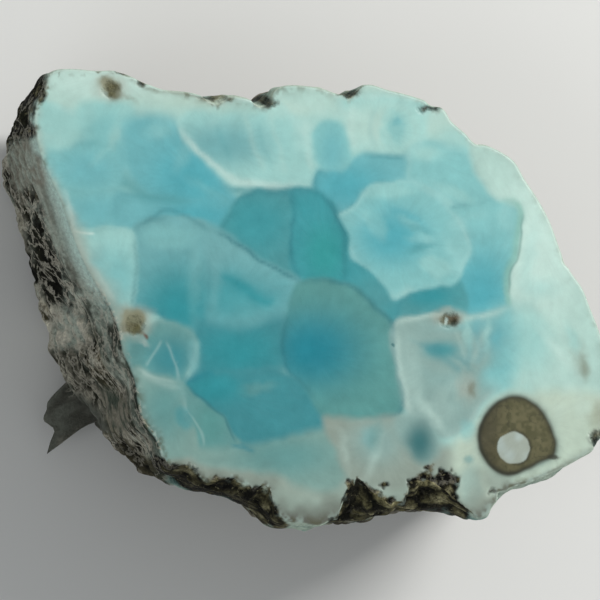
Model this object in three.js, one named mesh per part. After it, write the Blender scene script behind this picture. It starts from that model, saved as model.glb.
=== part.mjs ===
// Rough larimar: one broken, palm-sized piece with a single sawn face.
// Millimetres, +Z up. The stone lies on its back, sawn face up and level.
// The face outline, its chips and its pits are listed as they look to an eye that is
// turned EYE_TURN to the left of straight above the face and EYE_TIP below it.
import * as THREE from 'three';

const THICKNESS = 25;
const MIDDLE = new THREE.Vector2(3.2, -0.25);
const EYE_TURN = THREE.MathUtils.degToRad(20);
const EYE_TIP = THREE.MathUtils.degToRad(7);

// Depths below the sawn face
const RIM_ROUND = 0.25;
const RIM_INSET = 0.35;
const BROW_DEPTH = 4.2;
const BELLY_DEPTH = 21;

// How the flank closes in towards the belly and the foot: 1 is straight, more is later
const BELLY_CURVE = 1.2;
const FOOT_CURVE = 1.5;
const FOOT_CLEARANCE = 0.3;

// Share of the outline's small bumps that is gone low on the flank, between which depths
// they go, and the directions in degrees that they are evened out over
const EVENNESS = 0.85;
const EVENED_BETWEEN = [1.5, 8];
const EVEN_OFFSETS = [-10, -7.5, -5, -2.5, 0, 2.5, 5, 7.5, 10];

// Rough skin: size of the swells, broken facets and lumps, how far they stand out, and
// how much longer they run round the stone than down it
const SWELL_SIZE = 15;
const SWELL_RELIEF = 0.7;
const FACET_SIZE = 8;
const FACET_RELIEF = 1.05;
const FACET_FLATNESS = 1.3;
const LUMP_SIZE = 4.4;
const LUMP_RELIEF = 0.5;
const LUMP_FLATNESS = 1.8;
const CORNER_SHARPNESS = 9;

// Depths between which the skin's swells and its rough relief come in, the share of the
// rough relief that the smooth shoulder has, and how far it turns down under the belly
const SWELL_BETWEEN = [2, 12];
const FAINT_BETWEEN = [RIM_ROUND, 2.5];
const ROUGH_BETWEEN = [-0.6, 1.6];
const FAINT_FACETS = 0.2;
const FAINT_LUMPS = 0.15;
const DOWNWARD_TURN = 1.1;

// Facets: weight of a seed's height, tilt and distance, and the level taken off
const FACET_HEIGHT = 0.8;
const FACET_TILT = 0.75;
const FACET_BOWL = 1.1;
const FACET_LEVEL = 1.02;

// Knobs: weight of a seed's height and distance, gain, level, and depth of the creases
const KNOB_HEIGHT = 0.7;
const KNOB_BOWL = 2;
const KNOB_GAIN = 1.6;
const KNOB_LEVEL = 0.33;
const KNOB_CREASE = -1.1;

// Crease under the shoulder, where the shoulder flares
const CREASE_DEPTH = 5.2;
const CREASE_RELIEF = 0.6;
const CREASE_WIDTH = 0.9;
const CREASE_FLARE = [0.5, 1.2];

// How far the flank may stand out past the edge of the face: at the edge, more for each
// mm of depth, and more where the shoulder flares. Below the held depths it is held back
// softly from going further.
const EDGE_ROOM = 0.1;
const ROOM_BY_DEPTH = 0.04;
const SHOULDER_ROOM = 2.4;
const SHOULDER_FLARE = [0.7, 1.2];
const HELD_BETWEEN = [0.5, 2.5];
const HOLD_SOFTNESS = 0.6;

// Large planes: most that one may cut away, depths between which they come in, and how
// they fade out to the side, in half widths
const BREAK_LIMIT = 7;
const BREAK_BETWEEN = [1.5, 6];
const BREAK_FADE = [0.5, 1.35];
const LEAST_FACING = 0.2;
const FACING_SPAN = 8;

// Chips: how round they are (1 is a notch, more is rounder) and how they close downwards
const CHIP_ROUNDNESS = 2.2;
const CHIP_CURVE = 0.9;

// Mesh density
const COLUMNS = 176;
const LEVEL_DEPTHS = [0, RIM_ROUND, 0.9, 1.8];
const FLANK_DEPTHS = [
  2.8, 3.9, 5, 6.2, 7.4, 8.6, 9.8, 11, 12.2, 13.4, 14.6, 15.8, 17, 18.2, 19.6,
  BELLY_DEPTH,
];
const UNDERCUT_STEPS = [0.25, 0.5, 0.75, 1];
const WANDER = 0.32;

// Outline of the sawn face, anticlockwise from the right-hand tip
const RIGHT_SIDE = [
  [37.8, -12.6], [37.5, -8.9], [36.7, -4.9], [35.3, -1.1], [34.3, 1.4], [32.9, 3.4],
  [31.7, 5.8], [30.3, 9.6], [28.9, 12.2], [27.3, 14.6], [26, 16.8], [24.3, 18],
  [22.7, 18.7], [21.3, 18.9], [20, 20.2], [18.3, 21.7],
];
const TOP_SIDE = [
  [17.5, 23], [16, 23.8], [12.7, 24.9], [10.6, 25.4], [8.6, 26], [7.3, 25.8],
  [6, 25], [4.8, 24.8], [3, 25.4], [0.6, 25.8], [-1.8, 25.8], [-2.9, 25.3],
  [-3.9, 24.3], [-5, 23.9], [-7.2, 24.4], [-11, 24.4], [-13.2, 24.9], [-16.2, 25.2],
  [-18, 25.8], [-20.2, 26.9], [-21.8, 27.4], [-24.4, 27.4], [-27, 27.6], [-29.2, 27.4],
];
const LEFT_SIDE = [
  [-30.4, 26.2], [-31.2, 24.2], [-31.7, 22], [-31.5, 19.4], [-30.8, 16.8], [-29.7, 14.2],
  [-28.5, 11.6], [-27.3, 8], [-26.2, 5.2], [-24.6, 2.2], [-22.9, -0.6], [-21.8, -3.4],
  [-21.2, -6.2], [-20.3, -8.2], [-19.7, -10], [-19.4, -12.4], [-18.7, -14.8],
  [-17.3, -16.6], [-16.6, -18.6],
];
const BOTTOM_SIDE = [
  [-15.8, -20], [-13.8, -20.6], [-12, -21.6], [-9, -22.4], [-6, -23.5], [-4.1, -24.6],
  [-2.9, -25.8], [-1.6, -26.6], [0.4, -26.8], [2.2, -27.1], [3.7, -26.5], [5.4, -26.2],
  [8.4, -26], [12, -25.6], [15.6, -24.9], [18.4, -24.9], [20, -25.6], [21.5, -26.3],
  [22.6, -26], [23.3, -24.9], [24.2, -23.9], [25.5, -22.7], [27.6, -22.1], [30, -21.1],
  [31.8, -20.3], [33.7, -19.3], [35.2, -18.4], [36.7, -17],
];

// Flank all the way round. Angle in degrees, then in mm: how far the shoulder stands out
// at BROW_DEPTH, how far the belly and the foot lie inside the face outline, and the
// depth at which the skin turns rough.
const FLANK = [
  [8, 0.2, 3.4, 9, 0.8],
  [30, 0.3, 2, 6.5, 0.8],
  [52, 0.2, 2.8, 8, 0.8],
  [74, 0.3, 1.4, 6, 0.8],
  [95, 0.2, 3, 8, 0.8],
  [114, 0.3, 1.8, 6, 0.8],
  [133, 0.4, 2.6, 8, 1],
  [146, 0.8, 3.2, 9, 1.4],
  [157, 1.2, 3.6, 9, 3.2],
  [166, 1.3, 2.4, 8, 3.6],
  [174, 1.3, 1, 6, 4],
  [184, 1.3, -0.3, 5, 4.2],
  [193, 1.2, -1.3, 5, 3.8],
  [203, 0.9, -0.8, 5, 3],
  [212, 0.6, 1, 7, 2],
  [222, 0.5, 3, 9, 1.2],
  [232, 0.5, 4.4, 10, 0.8],
  [246, 0.5, 3.5, 8, 0.6],
  [262, 0.4, 3.4, 8, 0.6],
  [285, 0.5, 2.7, 7, 0.5],
  [306, 0.4, 3, 8, 0.5],
  [322, 0.3, 2.2, 7, 0.6],
  [341, 0.2, 3.2, 9, 0.8],
];

// Places where the edge of the face has broken back: position, half width along the
// edge, how far it eats into the face, and how deep the break runs.
const CHIPS = [
  [-30.9, 25.4, 1.6, 0.5, 2.4],
  [-20.9, 27.2, 0.8, 0.55, 1.2],
  [-19.2, 26.4, 0.6, 0.45, 1],
  [-10.2, 24.4, 1.6, 0.8, 1.8],
  [-4.4, 23.9, 1.5, 0.9, 2],
  [6.4, 25.1, 1, 0.7, 1.5],
  [15.9, 23.5, 1, 0.3, 1.5],
  [31.9, 4.6, 0.8, 0.3, 1.2],
  [36.4, -17.3, 0.9, 1.1, 2],
  [24.4, -23.7, 0.8, 0.7, 1.6],
  [16.2, -24.9, 3.4, 3.9, 3.4],
  [12.3, -25.6, 1.3, 1.4, 2.6],
  [8.1, -26, 3.8, 3.3, 3.2],
  [-4.4, -24.4, 1.6, 1.5, 2.4],
  [-8, -22.9, 3, 1.1, 2],
  [-13, -21, 2.4, 0.7, 1.6],
];

// Large broken planes below the face: direction of the plane and half the width that it
// takes up in degrees, depth at which it leaves the flank, and slope under the stone in
// degrees from upright.
const BREAKS = [
  [340, 18, 15, 34],
  [6, 24, 10, 20],
  [36, 20, 15, 34],
  [62, 16, 8, 14],
  [88, 20, 13, 30],
  [116, 16, 9, 16],
  [142, 14, 14, 24],
  [236, 14, 15, 20],
  [266, 15, 3, 23],
  [309, 15, 3.5, 18],
];

// Shallow pits in the sawn face: position, radius, depth
const PITS = [
  [-22.6, 25.2, 1.1, 0.2],
  [-19.6, -3, 1.4, 0.25],
  [18, -2.4, 1.1, 0.25],
];
const PIT_CORNERS = 11;
const PIT_LEAST_REACH = 0.8;
const PIT_UNEVENNESS = 0.4;

// Rings of a pit inside its edge: share of the radius and share of the depth
const PIT_SLOPE = [0.72, 0.7];
const PIT_FLOOR = [0.4, 1];

// Thin fin that sticks out low on the left, and the splinter at its corner: angle and half
// width in degrees, reach and half height in mm, how much it leans from straight outward
// in degrees, and its taper (1 runs straight to a point, more is rounder)
const FINS = [
  [208.2, 7.3, 5.8, 2.2, 0, 2],
  [212.6, 1.7, 4.2, 1.4, 18, 1],
];
const FIN_DEPTH = 21.5;

// Point of the face plane that is seen at x, y
function onFace([x, y]) {
  const planeX = x / Math.cos(EYE_TURN);
  const planeY = (y + Math.sin(EYE_TIP) * Math.sin(EYE_TURN) * planeX) / Math.cos(EYE_TIP);
  return new THREE.Vector2(planeX, planeY);
}

function smooth(from, to, value) {
  return THREE.MathUtils.smoothstep(value, from, to);
}

// Repeatable random number from 0 to 1 for a lattice point
function chance(x, y, z, seed) {
  let h = Math.imul(x, 374761393) + Math.imul(y, 668265263);
  h = (h + Math.imul(z, 1274126177) + Math.imul(seed, 974634777)) | 0;
  h = Math.imul(h ^ (h >>> 13), 1103515245);
  h = Math.imul(h ^ (h >>> 16), 668265263);
  return ((h ^ (h >>> 15)) >>> 0) / 4294967296;
}

// Soft swell from -1 to 1 with bumps about one size apart
function swell(point, size, seed) {
  const cell = [point.x, point.y, point.z].map((v) => Math.floor(v / size));
  const part = [point.x, point.y, point.z].map((v, i) => {
    const f = v / size - cell[i];
    return f * f * (3 - 2 * f);
  });
  let sum = 0;
  for (let corner = 0; corner < 8; corner += 1) {
    const step = [corner & 1, (corner >> 1) & 1, corner >> 2];
    const weight = step.reduce((w, s, i) => w * (s ? part[i] : 1 - part[i]), 1);
    sum += weight * chance(cell[0] + step[0], cell[1] + step[1], cell[2] + step[2], seed);
  }
  return 2 * sum - 1;
}

// Neighbouring random seeds of a point: distance in seed spacings, height and tilt
function seedsNear(point, size, seed) {
  const p = [point.x / size, point.y / size, point.z / size];
  const base = p.map(Math.floor);
  const found = [];
  for (let n = 0; n < 27; n += 1) {
    const cell = [
      base[0] + (n % 3) - 1,
      base[1] + (Math.floor(n / 3) % 3) - 1,
      base[2] + Math.floor(n / 9) - 1,
    ];
    const gap = cell.map((c, i) => p[i] - c - chance(...cell, seed + i));
    const lean = cell.map((c, i) => 2 * chance(...cell, seed + 3 + i) - 1);
    found.push({
      square: gap[0] ** 2 + gap[1] ** 2 + gap[2] ** 2,
      height: chance(...cell, seed + 6),
      tilt: gap[0] * lean[0] + gap[1] * lean[1] + gap[2] * lean[2],
    });
  }
  return found;
}

// Least of some values, with the corner between them rounded
function softLeast(values) {
  const least = Math.min(...values);
  const sum = values.reduce((t, v) => t + Math.exp(-CORNER_SHARPNESS * (v - least)), 0);
  return least - Math.log(sum) / CORNER_SHARPNESS;
}

// Nothing for values well below 0, the value itself well above it
function softRamp(value) {
  return (value + Math.hypot(value, HOLD_SOFTNESS)) / 2;
}

// Point for noise whose bumps run longer round the stone than down it
function flattened(point, flatness) {
  return new THREE.Vector3(point.x, point.y, point.z * flatness);
}

// Broken surface of tilted facets that meet in ridges, about -1 to 1
function facets(point, size, seed) {
  const values = seedsNear(point, size, seed).map(
    (s) => FACET_HEIGHT * s.height + FACET_TILT * s.tilt + FACET_BOWL * s.square,
  );
  return 2 * softLeast(values) - FACET_LEVEL;
}

// Crumbly surface of rounded knobs with creases between them, about -1 to 1
function knobs(point, size, seed) {
  const values = seedsNear(point, size, seed).map(
    (s) => KNOB_BOWL * s.square - KNOB_HEIGHT * s.height,
  );
  return Math.max(KNOB_CREASE, KNOB_LEVEL - KNOB_GAIN * softLeast(values));
}

// Smooth closed curve through stations given by angle
function aroundBy(stations) {
  const sorted = [...stations].sort((a, b) => a[0] - b[0]);
  const count = sorted.length;
  const station = (i) => {
    const turns = Math.floor(i / count);
    const [angle, ...values] = sorted[i - turns * count];
    return [angle + 360 * turns, ...values];
  };
  return (degrees) => {
    const angle = THREE.MathUtils.euclideanModulo(degrees - sorted[0][0], 360) + sorted[0][0];
    let i = 0;
    while (station(i + 1)[0] <= angle) {
      i += 1;
    }
    const [before, from, to, after] = [i - 1, i, i + 1, i + 2].map(station);
    const span = to[0] - from[0];
    const f = (angle - from[0]) / span;
    return from.slice(1).map((value, k) => {
      const slopeFrom = (to[k + 1] - before[k + 1]) / (to[0] - before[0]);
      const slopeTo = (after[k + 1] - from[k + 1]) / (after[0] - from[0]);
      const rise = to[k + 1] - value;
      const a = slopeFrom * span - rise;
      const b = rise - slopeTo * span;
      return value + f * rise + f * (1 - f) * ((1 - f) * a + f * b);
    });
  };
}

const outline = [...RIGHT_SIDE, ...TOP_SIDE, ...LEFT_SIDE, ...BOTTOM_SIDE].map(onFace);
const rimRadius = aroundBy(
  outline.map((p) => [THREE.MathUtils.radToDeg(p.angle()), p.length()]),
);
const flankAt = aroundBy(FLANK);
const chips = CHIPS.map(([x, y, halfWidth, bite, depth]) => {
  const at = onFace([x, y]);
  const angle = THREE.MathUtils.radToDeg(at.angle());
  const halfAngle = THREE.MathUtils.radToDeg(halfWidth / at.length());
  return { angle, halfAngle, bite, depth };
});

function angleBetween(a, b) {
  return Math.abs(THREE.MathUtils.euclideanModulo(a - b + 180, 360) - 180);
}

// Outline with its small bumps evened out, which the lower flank follows
function evenRadius(degrees) {
  const sum = EVEN_OFFSETS.reduce((total, o) => total + rimRadius(degrees + o)[0], 0);
  return sum / EVEN_OFFSETS.length;
}

// How far the broken chips lie inside the outline at this depth
function chipInset(degrees, depth) {
  const place = new THREE.Vector3(degrees / 3, depth / 2, 0);
  const jag = 1 + 0.3 * swell(place, 1, 91) + 0.2 * swell(place, 0.45, 95);
  const insets = chips.map((c) => {
    const off = angleBetween(degrees, c.angle) / c.halfAngle;
    const across = Math.max(0, 1 - off ** CHIP_ROUNDNESS);
    const down = Math.max(0, 1 - depth / c.depth);
    return c.bite * jag * across * down ** CHIP_CURVE;
  });
  return Math.max(...insets);
}

// Direction in degrees that the flank faces, seen from above
function facing(degrees) {
  const pointAt = (angle) => {
    const turn = THREE.MathUtils.degToRad(angle);
    const radius = rimRadius(angle)[0];
    return new THREE.Vector2(radius * Math.cos(turn), radius * Math.sin(turn));
  };
  const along = pointAt(degrees + FACING_SPAN).sub(pointAt(degrees - FACING_SPAN));
  return THREE.MathUtils.radToDeg(along.angle()) - 90;
}

const breaks = BREAKS.map(([angle, halfWidth, depth, slope]) => {
  const normal = facing(angle);
  const off = THREE.MathUtils.degToRad(angle - normal);
  const slant = Math.tan(THREE.MathUtils.degToRad(slope));
  return { angle, halfWidth, depth, normal, slant, reach: rimRadius(angle)[0] * Math.cos(off) };
});

// How far the large planes cut inside a radius at this depth
function breakInset(degrees, depth, radius) {
  const cuts = breaks.map((b) => {
    const off = THREE.MathUtils.degToRad(degrees - b.normal);
    const toward = Math.max(LEAST_FACING, Math.cos(off));
    const plane = (b.reach + (b.depth - depth) * b.slant) / toward;
    const part = 1 - smooth(...BREAK_FADE, angleBetween(degrees, b.angle) / b.halfWidth);
    const cut = Math.min(BREAK_LIMIT, Math.max(0, radius - plane));
    return part * smooth(...BREAK_BETWEEN, depth) * cut;
  });
  return Math.max(...cuts);
}

// How far the fin and its splinter carry the skin at this direction and depth
function finOffset(degrees, depth) {
  const sum = new THREE.Vector2();
  FINS.forEach(([angle, halfWidth, reach, halfHeight, lean, taper]) => {
    const across = 1 - (angleBetween(degrees, angle) / halfWidth) ** taper;
    const high = 1 - ((depth - FIN_DEPTH) / halfHeight) ** 2;
    const turn = THREE.MathUtils.degToRad(degrees + lean);
    const out = reach * Math.max(0, across) * Math.sqrt(Math.max(0, high));
    sum.add(new THREE.Vector2(Math.cos(turn), Math.sin(turn)).multiplyScalar(out));
  });
  return sum;
}

// Skin point for a direction, a depth below the face and an undercut step from 0 to 1
function skin(degrees, depth, undercut) {
  const [flare, belly, foot, roughFrom] = flankAt(degrees);
  const turn = THREE.MathUtils.degToRad(degrees);
  const down = smooth(0, BROW_DEPTH, depth) * -flare;
  const low = Math.max(0, (depth - BROW_DEPTH) / (BELLY_DEPTH - BROW_DEPTH));
  const closing = (belly + flare) * low ** BELLY_CURVE + (foot - belly) * undercut ** FOOT_CURVE;
  const bevel = RIM_INSET * Math.max(0, 1 - depth / RIM_ROUND);
  const z = undercut ? (THICKNESS - BELLY_DEPTH) * (1 - undercut) : THICKNESS - depth;
  const settled = EVENNESS * smooth(...EVENED_BETWEEN, depth);
  const edge = rimRadius(degrees)[0];
  const upright = edge + settled * (evenRadius(degrees) - edge) - down - closing - bevel;
  const cut = breakInset(degrees, depth, upright) * (1 - undercut);
  const radius = upright - chipInset(degrees, depth) - cut;
  const point = new THREE.Vector3(radius * Math.cos(turn), radius * Math.sin(turn), z);

  const above = 1 - undercut ** 3;
  const rough = smooth(...ROUGH_BETWEEN, depth - roughFrom) * above;
  const faint = smooth(...FAINT_BETWEEN, depth) * above;
  const fromCrease = (depth - CREASE_DEPTH) / CREASE_WIDTH;
  const crease = Math.exp(-(fromCrease ** 2)) * smooth(...CREASE_FLARE, flare);
  const facet = facets(flattened(point, FACET_FLATNESS), FACET_SIZE, 21);
  const lump = knobs(flattened(point, LUMP_FLATNESS), LUMP_SIZE, 41);
  const relief =
    SWELL_RELIEF * swell(point, SWELL_SIZE, 11) * smooth(...SWELL_BETWEEN, depth) +
    FACET_RELIEF * facet * (FAINT_FACETS * faint + (1 - FAINT_FACETS) * rough) +
    LUMP_RELIEF * lump * (FAINT_LUMPS * faint + (1 - FAINT_LUMPS) * rough) -
    CREASE_RELIEF * crease;

  // The relief turns from outward on the flank to mostly downward at the foot
  const downward = undercut * DOWNWARD_TURN;
  const shoulder = SHOULDER_ROOM * smooth(...SHOULDER_FLARE, flare);
  const room = EDGE_ROOM + ROOM_BY_DEPTH * depth + shoulder;
  const free = relief * Math.cos(downward);
  const beyond = radius + free - edge - room;
  const held = free - smooth(...HELD_BETWEEN, depth) * softRamp(beyond);
  const fin = finOffset(degrees, THICKNESS - z);
  point.x += held * Math.cos(turn) + fin.x;
  point.y += held * Math.sin(turn) + fin.y;
  if (undercut < 1) {
    point.z = Math.max(FOOT_CLEARANCE, point.z - relief * Math.sin(downward));
  }
  return point;
}

// Directions that stand about the same distance apart along the outline
function evenDirections(count) {
  const fine = Array.from({ length: 1440 }, (_, i) => i / 4);
  const place = (degrees) => {
    const turn = THREE.MathUtils.degToRad(degrees);
    const radius = rimRadius(degrees)[0];
    return new THREE.Vector2(radius * Math.cos(turn), radius * Math.sin(turn));
  };
  const lengths = [0];
  fine.forEach((degrees) => {
    lengths.push(lengths.at(-1) + place(degrees).distanceTo(place(degrees + 0.25)));
  });
  return Array.from({ length: count }, (_, i) => {
    const wanted = (lengths.at(-1) * i) / count;
    const after = lengths.findIndex((length) => length > wanted);
    const part = (wanted - lengths[after - 1]) / (lengths[after] - lengths[after - 1]);
    return (after - 1 + part) / 4;
  });
}

const corners = [];
const triangles = [];

function addCorner(point) {
  corners.push(point);
  return corners.length - 1;
}

// Band of triangles between two rings of corner numbers, split on the shorter diagonal
function joinRings(upper, lower) {
  upper.forEach((_, i) => {
    const next = (i + 1) % upper.length;
    const [a, b, c, d] = [upper[i], upper[next], lower[next], lower[i]];
    if (corners[a].distanceTo(corners[c]) < corners[b].distanceTo(corners[d])) {
      triangles.push([a, d, c], [a, c, b]);
    } else {
      triangles.push([a, d, b], [d, c, b]);
    }
  });
}

// Flat area inside a ring, with holes, facing up or down
function fillFlat(ring, holes, up) {
  const flat = (numbers) => numbers.map((n) => new THREE.Vector2(corners[n].x, corners[n].y));
  const numbers = [...ring, ...holes.flat()];
  THREE.ShapeUtils.triangulateShape(flat(ring), holes.map(flat)).forEach((found) => {
    const [a, b, c] = found.map((i) => numbers[i]);
    const [pa, pb, pc] = flat([a, b, c]);
    const turnsLeft = pb.sub(pa).cross(pc.sub(pa)) > 0;
    triangles.push(turnsLeft === up ? [a, b, c] : [a, c, b]);
  });
}

const directions = evenDirections(COLUMNS);
const spacing = 360 / COLUMNS;
const rings = [
  ...LEVEL_DEPTHS.map((depth) => [depth, 0, 0]),
  ...FLANK_DEPTHS.map((depth) => [depth, 0, 1]),
  ...UNDERCUT_STEPS.map((step) => [BELLY_DEPTH, step, step < 1 ? 1 : 0]),
].map(([depth, step, free], row) =>
  directions.map((degrees, column) => {
    const aside = free * WANDER * spacing * (2 * chance(column, row, 0, 3) - 1);
    const below = step ? 0 : free * WANDER * (2 * chance(column, row, 0, 4) - 1);
    return addCorner(skin(degrees + aside, Math.min(BELLY_DEPTH, depth + below), step));
  }),
);
rings.slice(1).forEach((ring, i) => joinRings(rings[i], ring));
fillFlat(rings.at(-1), [], false);

const pitRings = PITS.map(([x, y, radius, depth], n) => {
  const centre = onFace([x, y]);
  const ringAt = ([share, sunk]) =>
    Array.from({ length: PIT_CORNERS }, (_, i) => {
      const turn = (2 * Math.PI * i) / PIT_CORNERS;
      const uneven = PIT_LEAST_REACH + PIT_UNEVENNESS * chance(i, n, 0, 7);
      const reach = radius * share * uneven;
      const px = centre.x + reach * Math.cos(turn);
      const py = centre.y + reach * Math.sin(turn);
      return addCorner(new THREE.Vector3(px, py, THICKNESS - sunk * depth));
    });
  const edge = ringAt([1, 0]);
  const slope = ringAt(PIT_SLOPE);
  const floor = ringAt(PIT_FLOOR);
  joinRings(slope, edge);
  joinRings(floor, slope);
  fillFlat(floor, [], true);
  return edge;
});
fillFlat(rings[0], pitRings, true);

const geometry = new THREE.BufferGeometry();
geometry.setAttribute(
  'position',
  new THREE.Float32BufferAttribute(corners.flatMap((p) => p.toArray()), 3),
);
geometry.setIndex(triangles.flat());
geometry.translate(-MIDDLE.x, -MIDDLE.y, 0);

const faceted = geometry.toNonIndexed();
faceted.computeVertexNormals();
const stone = new THREE.Mesh(
  faceted,
  new THREE.MeshStandardMaterial({ color: 0x8fc6c9, roughness: 0.45, metalness: 0 }),
);
stone.name = 'larimar_stone';

const part = new THREE.Group();
part.name = 'rough_larimar';
part.add(stone);

export default part;
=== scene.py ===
# Rough larimar: looks. The stone lies on its back with its sawn face up.
# Shapes are worked out in millimetres in the CAD frame and become metres when the mesh is
# made. Outlines and patches on the face are listed as they look to the camera's eye, which
# is turned EYE_TURN to the left of straight above the face and EYE_TIP below it.
import math

import bpy
import numpy as np
from mathutils import Matrix, Vector
from mathutils.geometry import delaunay_2d_cdt


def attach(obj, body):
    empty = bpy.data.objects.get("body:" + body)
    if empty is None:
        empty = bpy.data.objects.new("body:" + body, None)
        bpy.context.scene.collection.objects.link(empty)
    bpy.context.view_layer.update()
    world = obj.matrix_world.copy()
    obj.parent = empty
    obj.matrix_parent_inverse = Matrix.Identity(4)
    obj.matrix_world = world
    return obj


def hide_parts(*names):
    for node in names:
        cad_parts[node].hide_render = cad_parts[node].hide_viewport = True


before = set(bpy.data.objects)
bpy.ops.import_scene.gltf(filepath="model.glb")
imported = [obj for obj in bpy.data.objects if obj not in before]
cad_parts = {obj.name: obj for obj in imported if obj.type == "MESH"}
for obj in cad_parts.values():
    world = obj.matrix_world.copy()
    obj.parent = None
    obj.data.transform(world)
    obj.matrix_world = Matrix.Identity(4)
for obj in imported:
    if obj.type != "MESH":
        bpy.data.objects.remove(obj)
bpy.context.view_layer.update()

MM = 0.001
NODE = "larimar_stone"

# Sizes and outline, the same as in the CAD model
THICKNESS = 25.0
MIDDLE = (3.2, -0.25)
EYE_TURN = math.radians(20)
EYE_TIP = math.radians(7)
TURN_COS, TURN_SIN = math.cos(EYE_TURN), math.sin(EYE_TURN)
TIP_COS, TIP_SIN = math.cos(EYE_TIP), math.sin(EYE_TIP)

# Depths below the face, and how the flank closes in: 1 is straight, more is later
RIM_ROUND, RIM_INSET = 0.25, 0.35
BROW_DEPTH, BELLY_DEPTH = 4.2, 21.0
BELLY_CURVE, FOOT_CURVE, FOOT_CLEARANCE = 1.2, 1.5, 0.3

# Share of the outline's small bumps that is gone low on the flank, between which depths
# they go, and the directions in degrees that they are evened out over
EVENNESS, EVENED_BETWEEN = 0.85, (1.5, 8)
EVEN_OFFSETS = [2.5 * k for k in range(-4, 5)]

# Rough skin: size, relief, and how much longer it runs round the stone than down it
SWELL_SIZE, SWELL_RELIEF = 15, 0.7
FACET_SIZE, FACET_RELIEF, FACET_FLATNESS = 8, 1.05, 1.3
LUMP_SIZE, LUMP_RELIEF, LUMP_FLATNESS = 4.4, 0.5, 1.8

# Weight of a seed's height, tilt and distance, then gain, level and depth of the creases
FACET_HEIGHT, FACET_TILT, FACET_BOWL, FACET_LEVEL = 0.8, 0.75, 1.1, 1.02
KNOB_HEIGHT, KNOB_BOWL, KNOB_GAIN, KNOB_LEVEL, KNOB_CREASE = 0.7, 2, 1.6, 0.33, -1.1
CORNER_SHARPNESS = 9

# Depths between which the relief comes in, the share of it that the smooth shoulder has,
# and how far it turns down under the belly
SWELL_BETWEEN, FAINT_BETWEEN, ROUGH_BETWEEN = (2, 12), (RIM_ROUND, 2.5), (-0.6, 1.6)
FAINT_FACETS, FAINT_LUMPS = 0.2, 0.15
DOWNWARD_TURN = 1.1

# Crease under the shoulder, where the shoulder flares
CREASE_DEPTH, CREASE_RELIEF, CREASE_WIDTH, CREASE_FLARE = 5.2, 0.6, 0.9, (0.5, 1.2)

# How far the flank may stand out past the edge of the face: at the edge, more for each
# mm of depth, and more at the shoulder. Further out it is held back softly.
EDGE_ROOM, ROOM_BY_DEPTH, SHOULDER_ROOM, SHOULDER_FLARE = 0.1, 0.04, 2.4, (0.7, 1.2)
HELD_BETWEEN, HOLD_SOFTNESS = (0.5, 2.5), 0.6

# Large planes: most that one cuts away, depths between which they come in, and how they
# fade out to the side, in half widths
BREAK_LIMIT, BREAK_BETWEEN, BREAK_FADE = 7, (1.5, 6), (0.5, 1.35)
LEAST_FACING, FACING_SPAN = 0.2, 8.0

# Chips: how round they are (1 is a notch, more is rounder) and how they close downwards
CHIP_ROUNDNESS, CHIP_CURVE = 2.2, 0.9

# Outline of the face as seen, anticlockwise from its right-hand tip
RIGHT_SIDE = [
    (37.8, -12.6), (37.5, -8.9), (36.7, -4.9), (35.3, -1.1), (34.3, 1.4), (32.9, 3.4),
    (31.7, 5.8), (30.3, 9.6), (28.9, 12.2), (27.3, 14.6), (26, 16.8), (24.3, 18),
    (22.7, 18.7), (21.3, 18.9), (20, 20.2), (18.3, 21.7),
]
TOP_SIDE = [
    (17.5, 23), (16, 23.8), (12.7, 24.9), (10.6, 25.4), (8.6, 26), (7.3, 25.8),
    (6, 25), (4.8, 24.8), (3, 25.4), (0.6, 25.8), (-1.8, 25.8), (-2.9, 25.3),
    (-3.9, 24.3), (-5, 23.9), (-7.2, 24.4), (-11, 24.4), (-13.2, 24.9), (-16.2, 25.2),
    (-18, 25.8), (-20.2, 26.9), (-21.8, 27.4), (-24.4, 27.4), (-27, 27.6), (-29.2, 27.4),
]
LEFT_SIDE = [
    (-30.4, 26.2), (-31.2, 24.2), (-31.7, 22), (-31.5, 19.4), (-30.8, 16.8), (-29.7, 14.2),
    (-28.5, 11.6), (-27.3, 8), (-26.2, 5.2), (-24.6, 2.2), (-22.9, -0.6), (-21.8, -3.4),
    (-21.2, -6.2), (-20.3, -8.2), (-19.7, -10), (-19.4, -12.4), (-18.7, -14.8),
    (-17.3, -16.6), (-16.6, -18.6),
]
BOTTOM_SIDE = [
    (-15.8, -20), (-13.8, -20.6), (-12, -21.6), (-9, -22.4), (-6, -23.5), (-4.1, -24.6),
    (-2.9, -25.8), (-1.6, -26.6), (0.4, -26.8), (2.2, -27.1), (3.7, -26.5), (5.4, -26.2),
    (8.4, -26), (12, -25.6), (15.6, -24.9), (18.4, -24.9), (20, -25.6), (21.5, -26.3),
    (22.6, -26), (23.3, -24.9), (24.2, -23.9), (25.5, -22.7), (27.6, -22.1), (30, -21.1),
    (31.8, -20.3), (33.7, -19.3), (35.2, -18.4), (36.7, -17),
]

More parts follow.
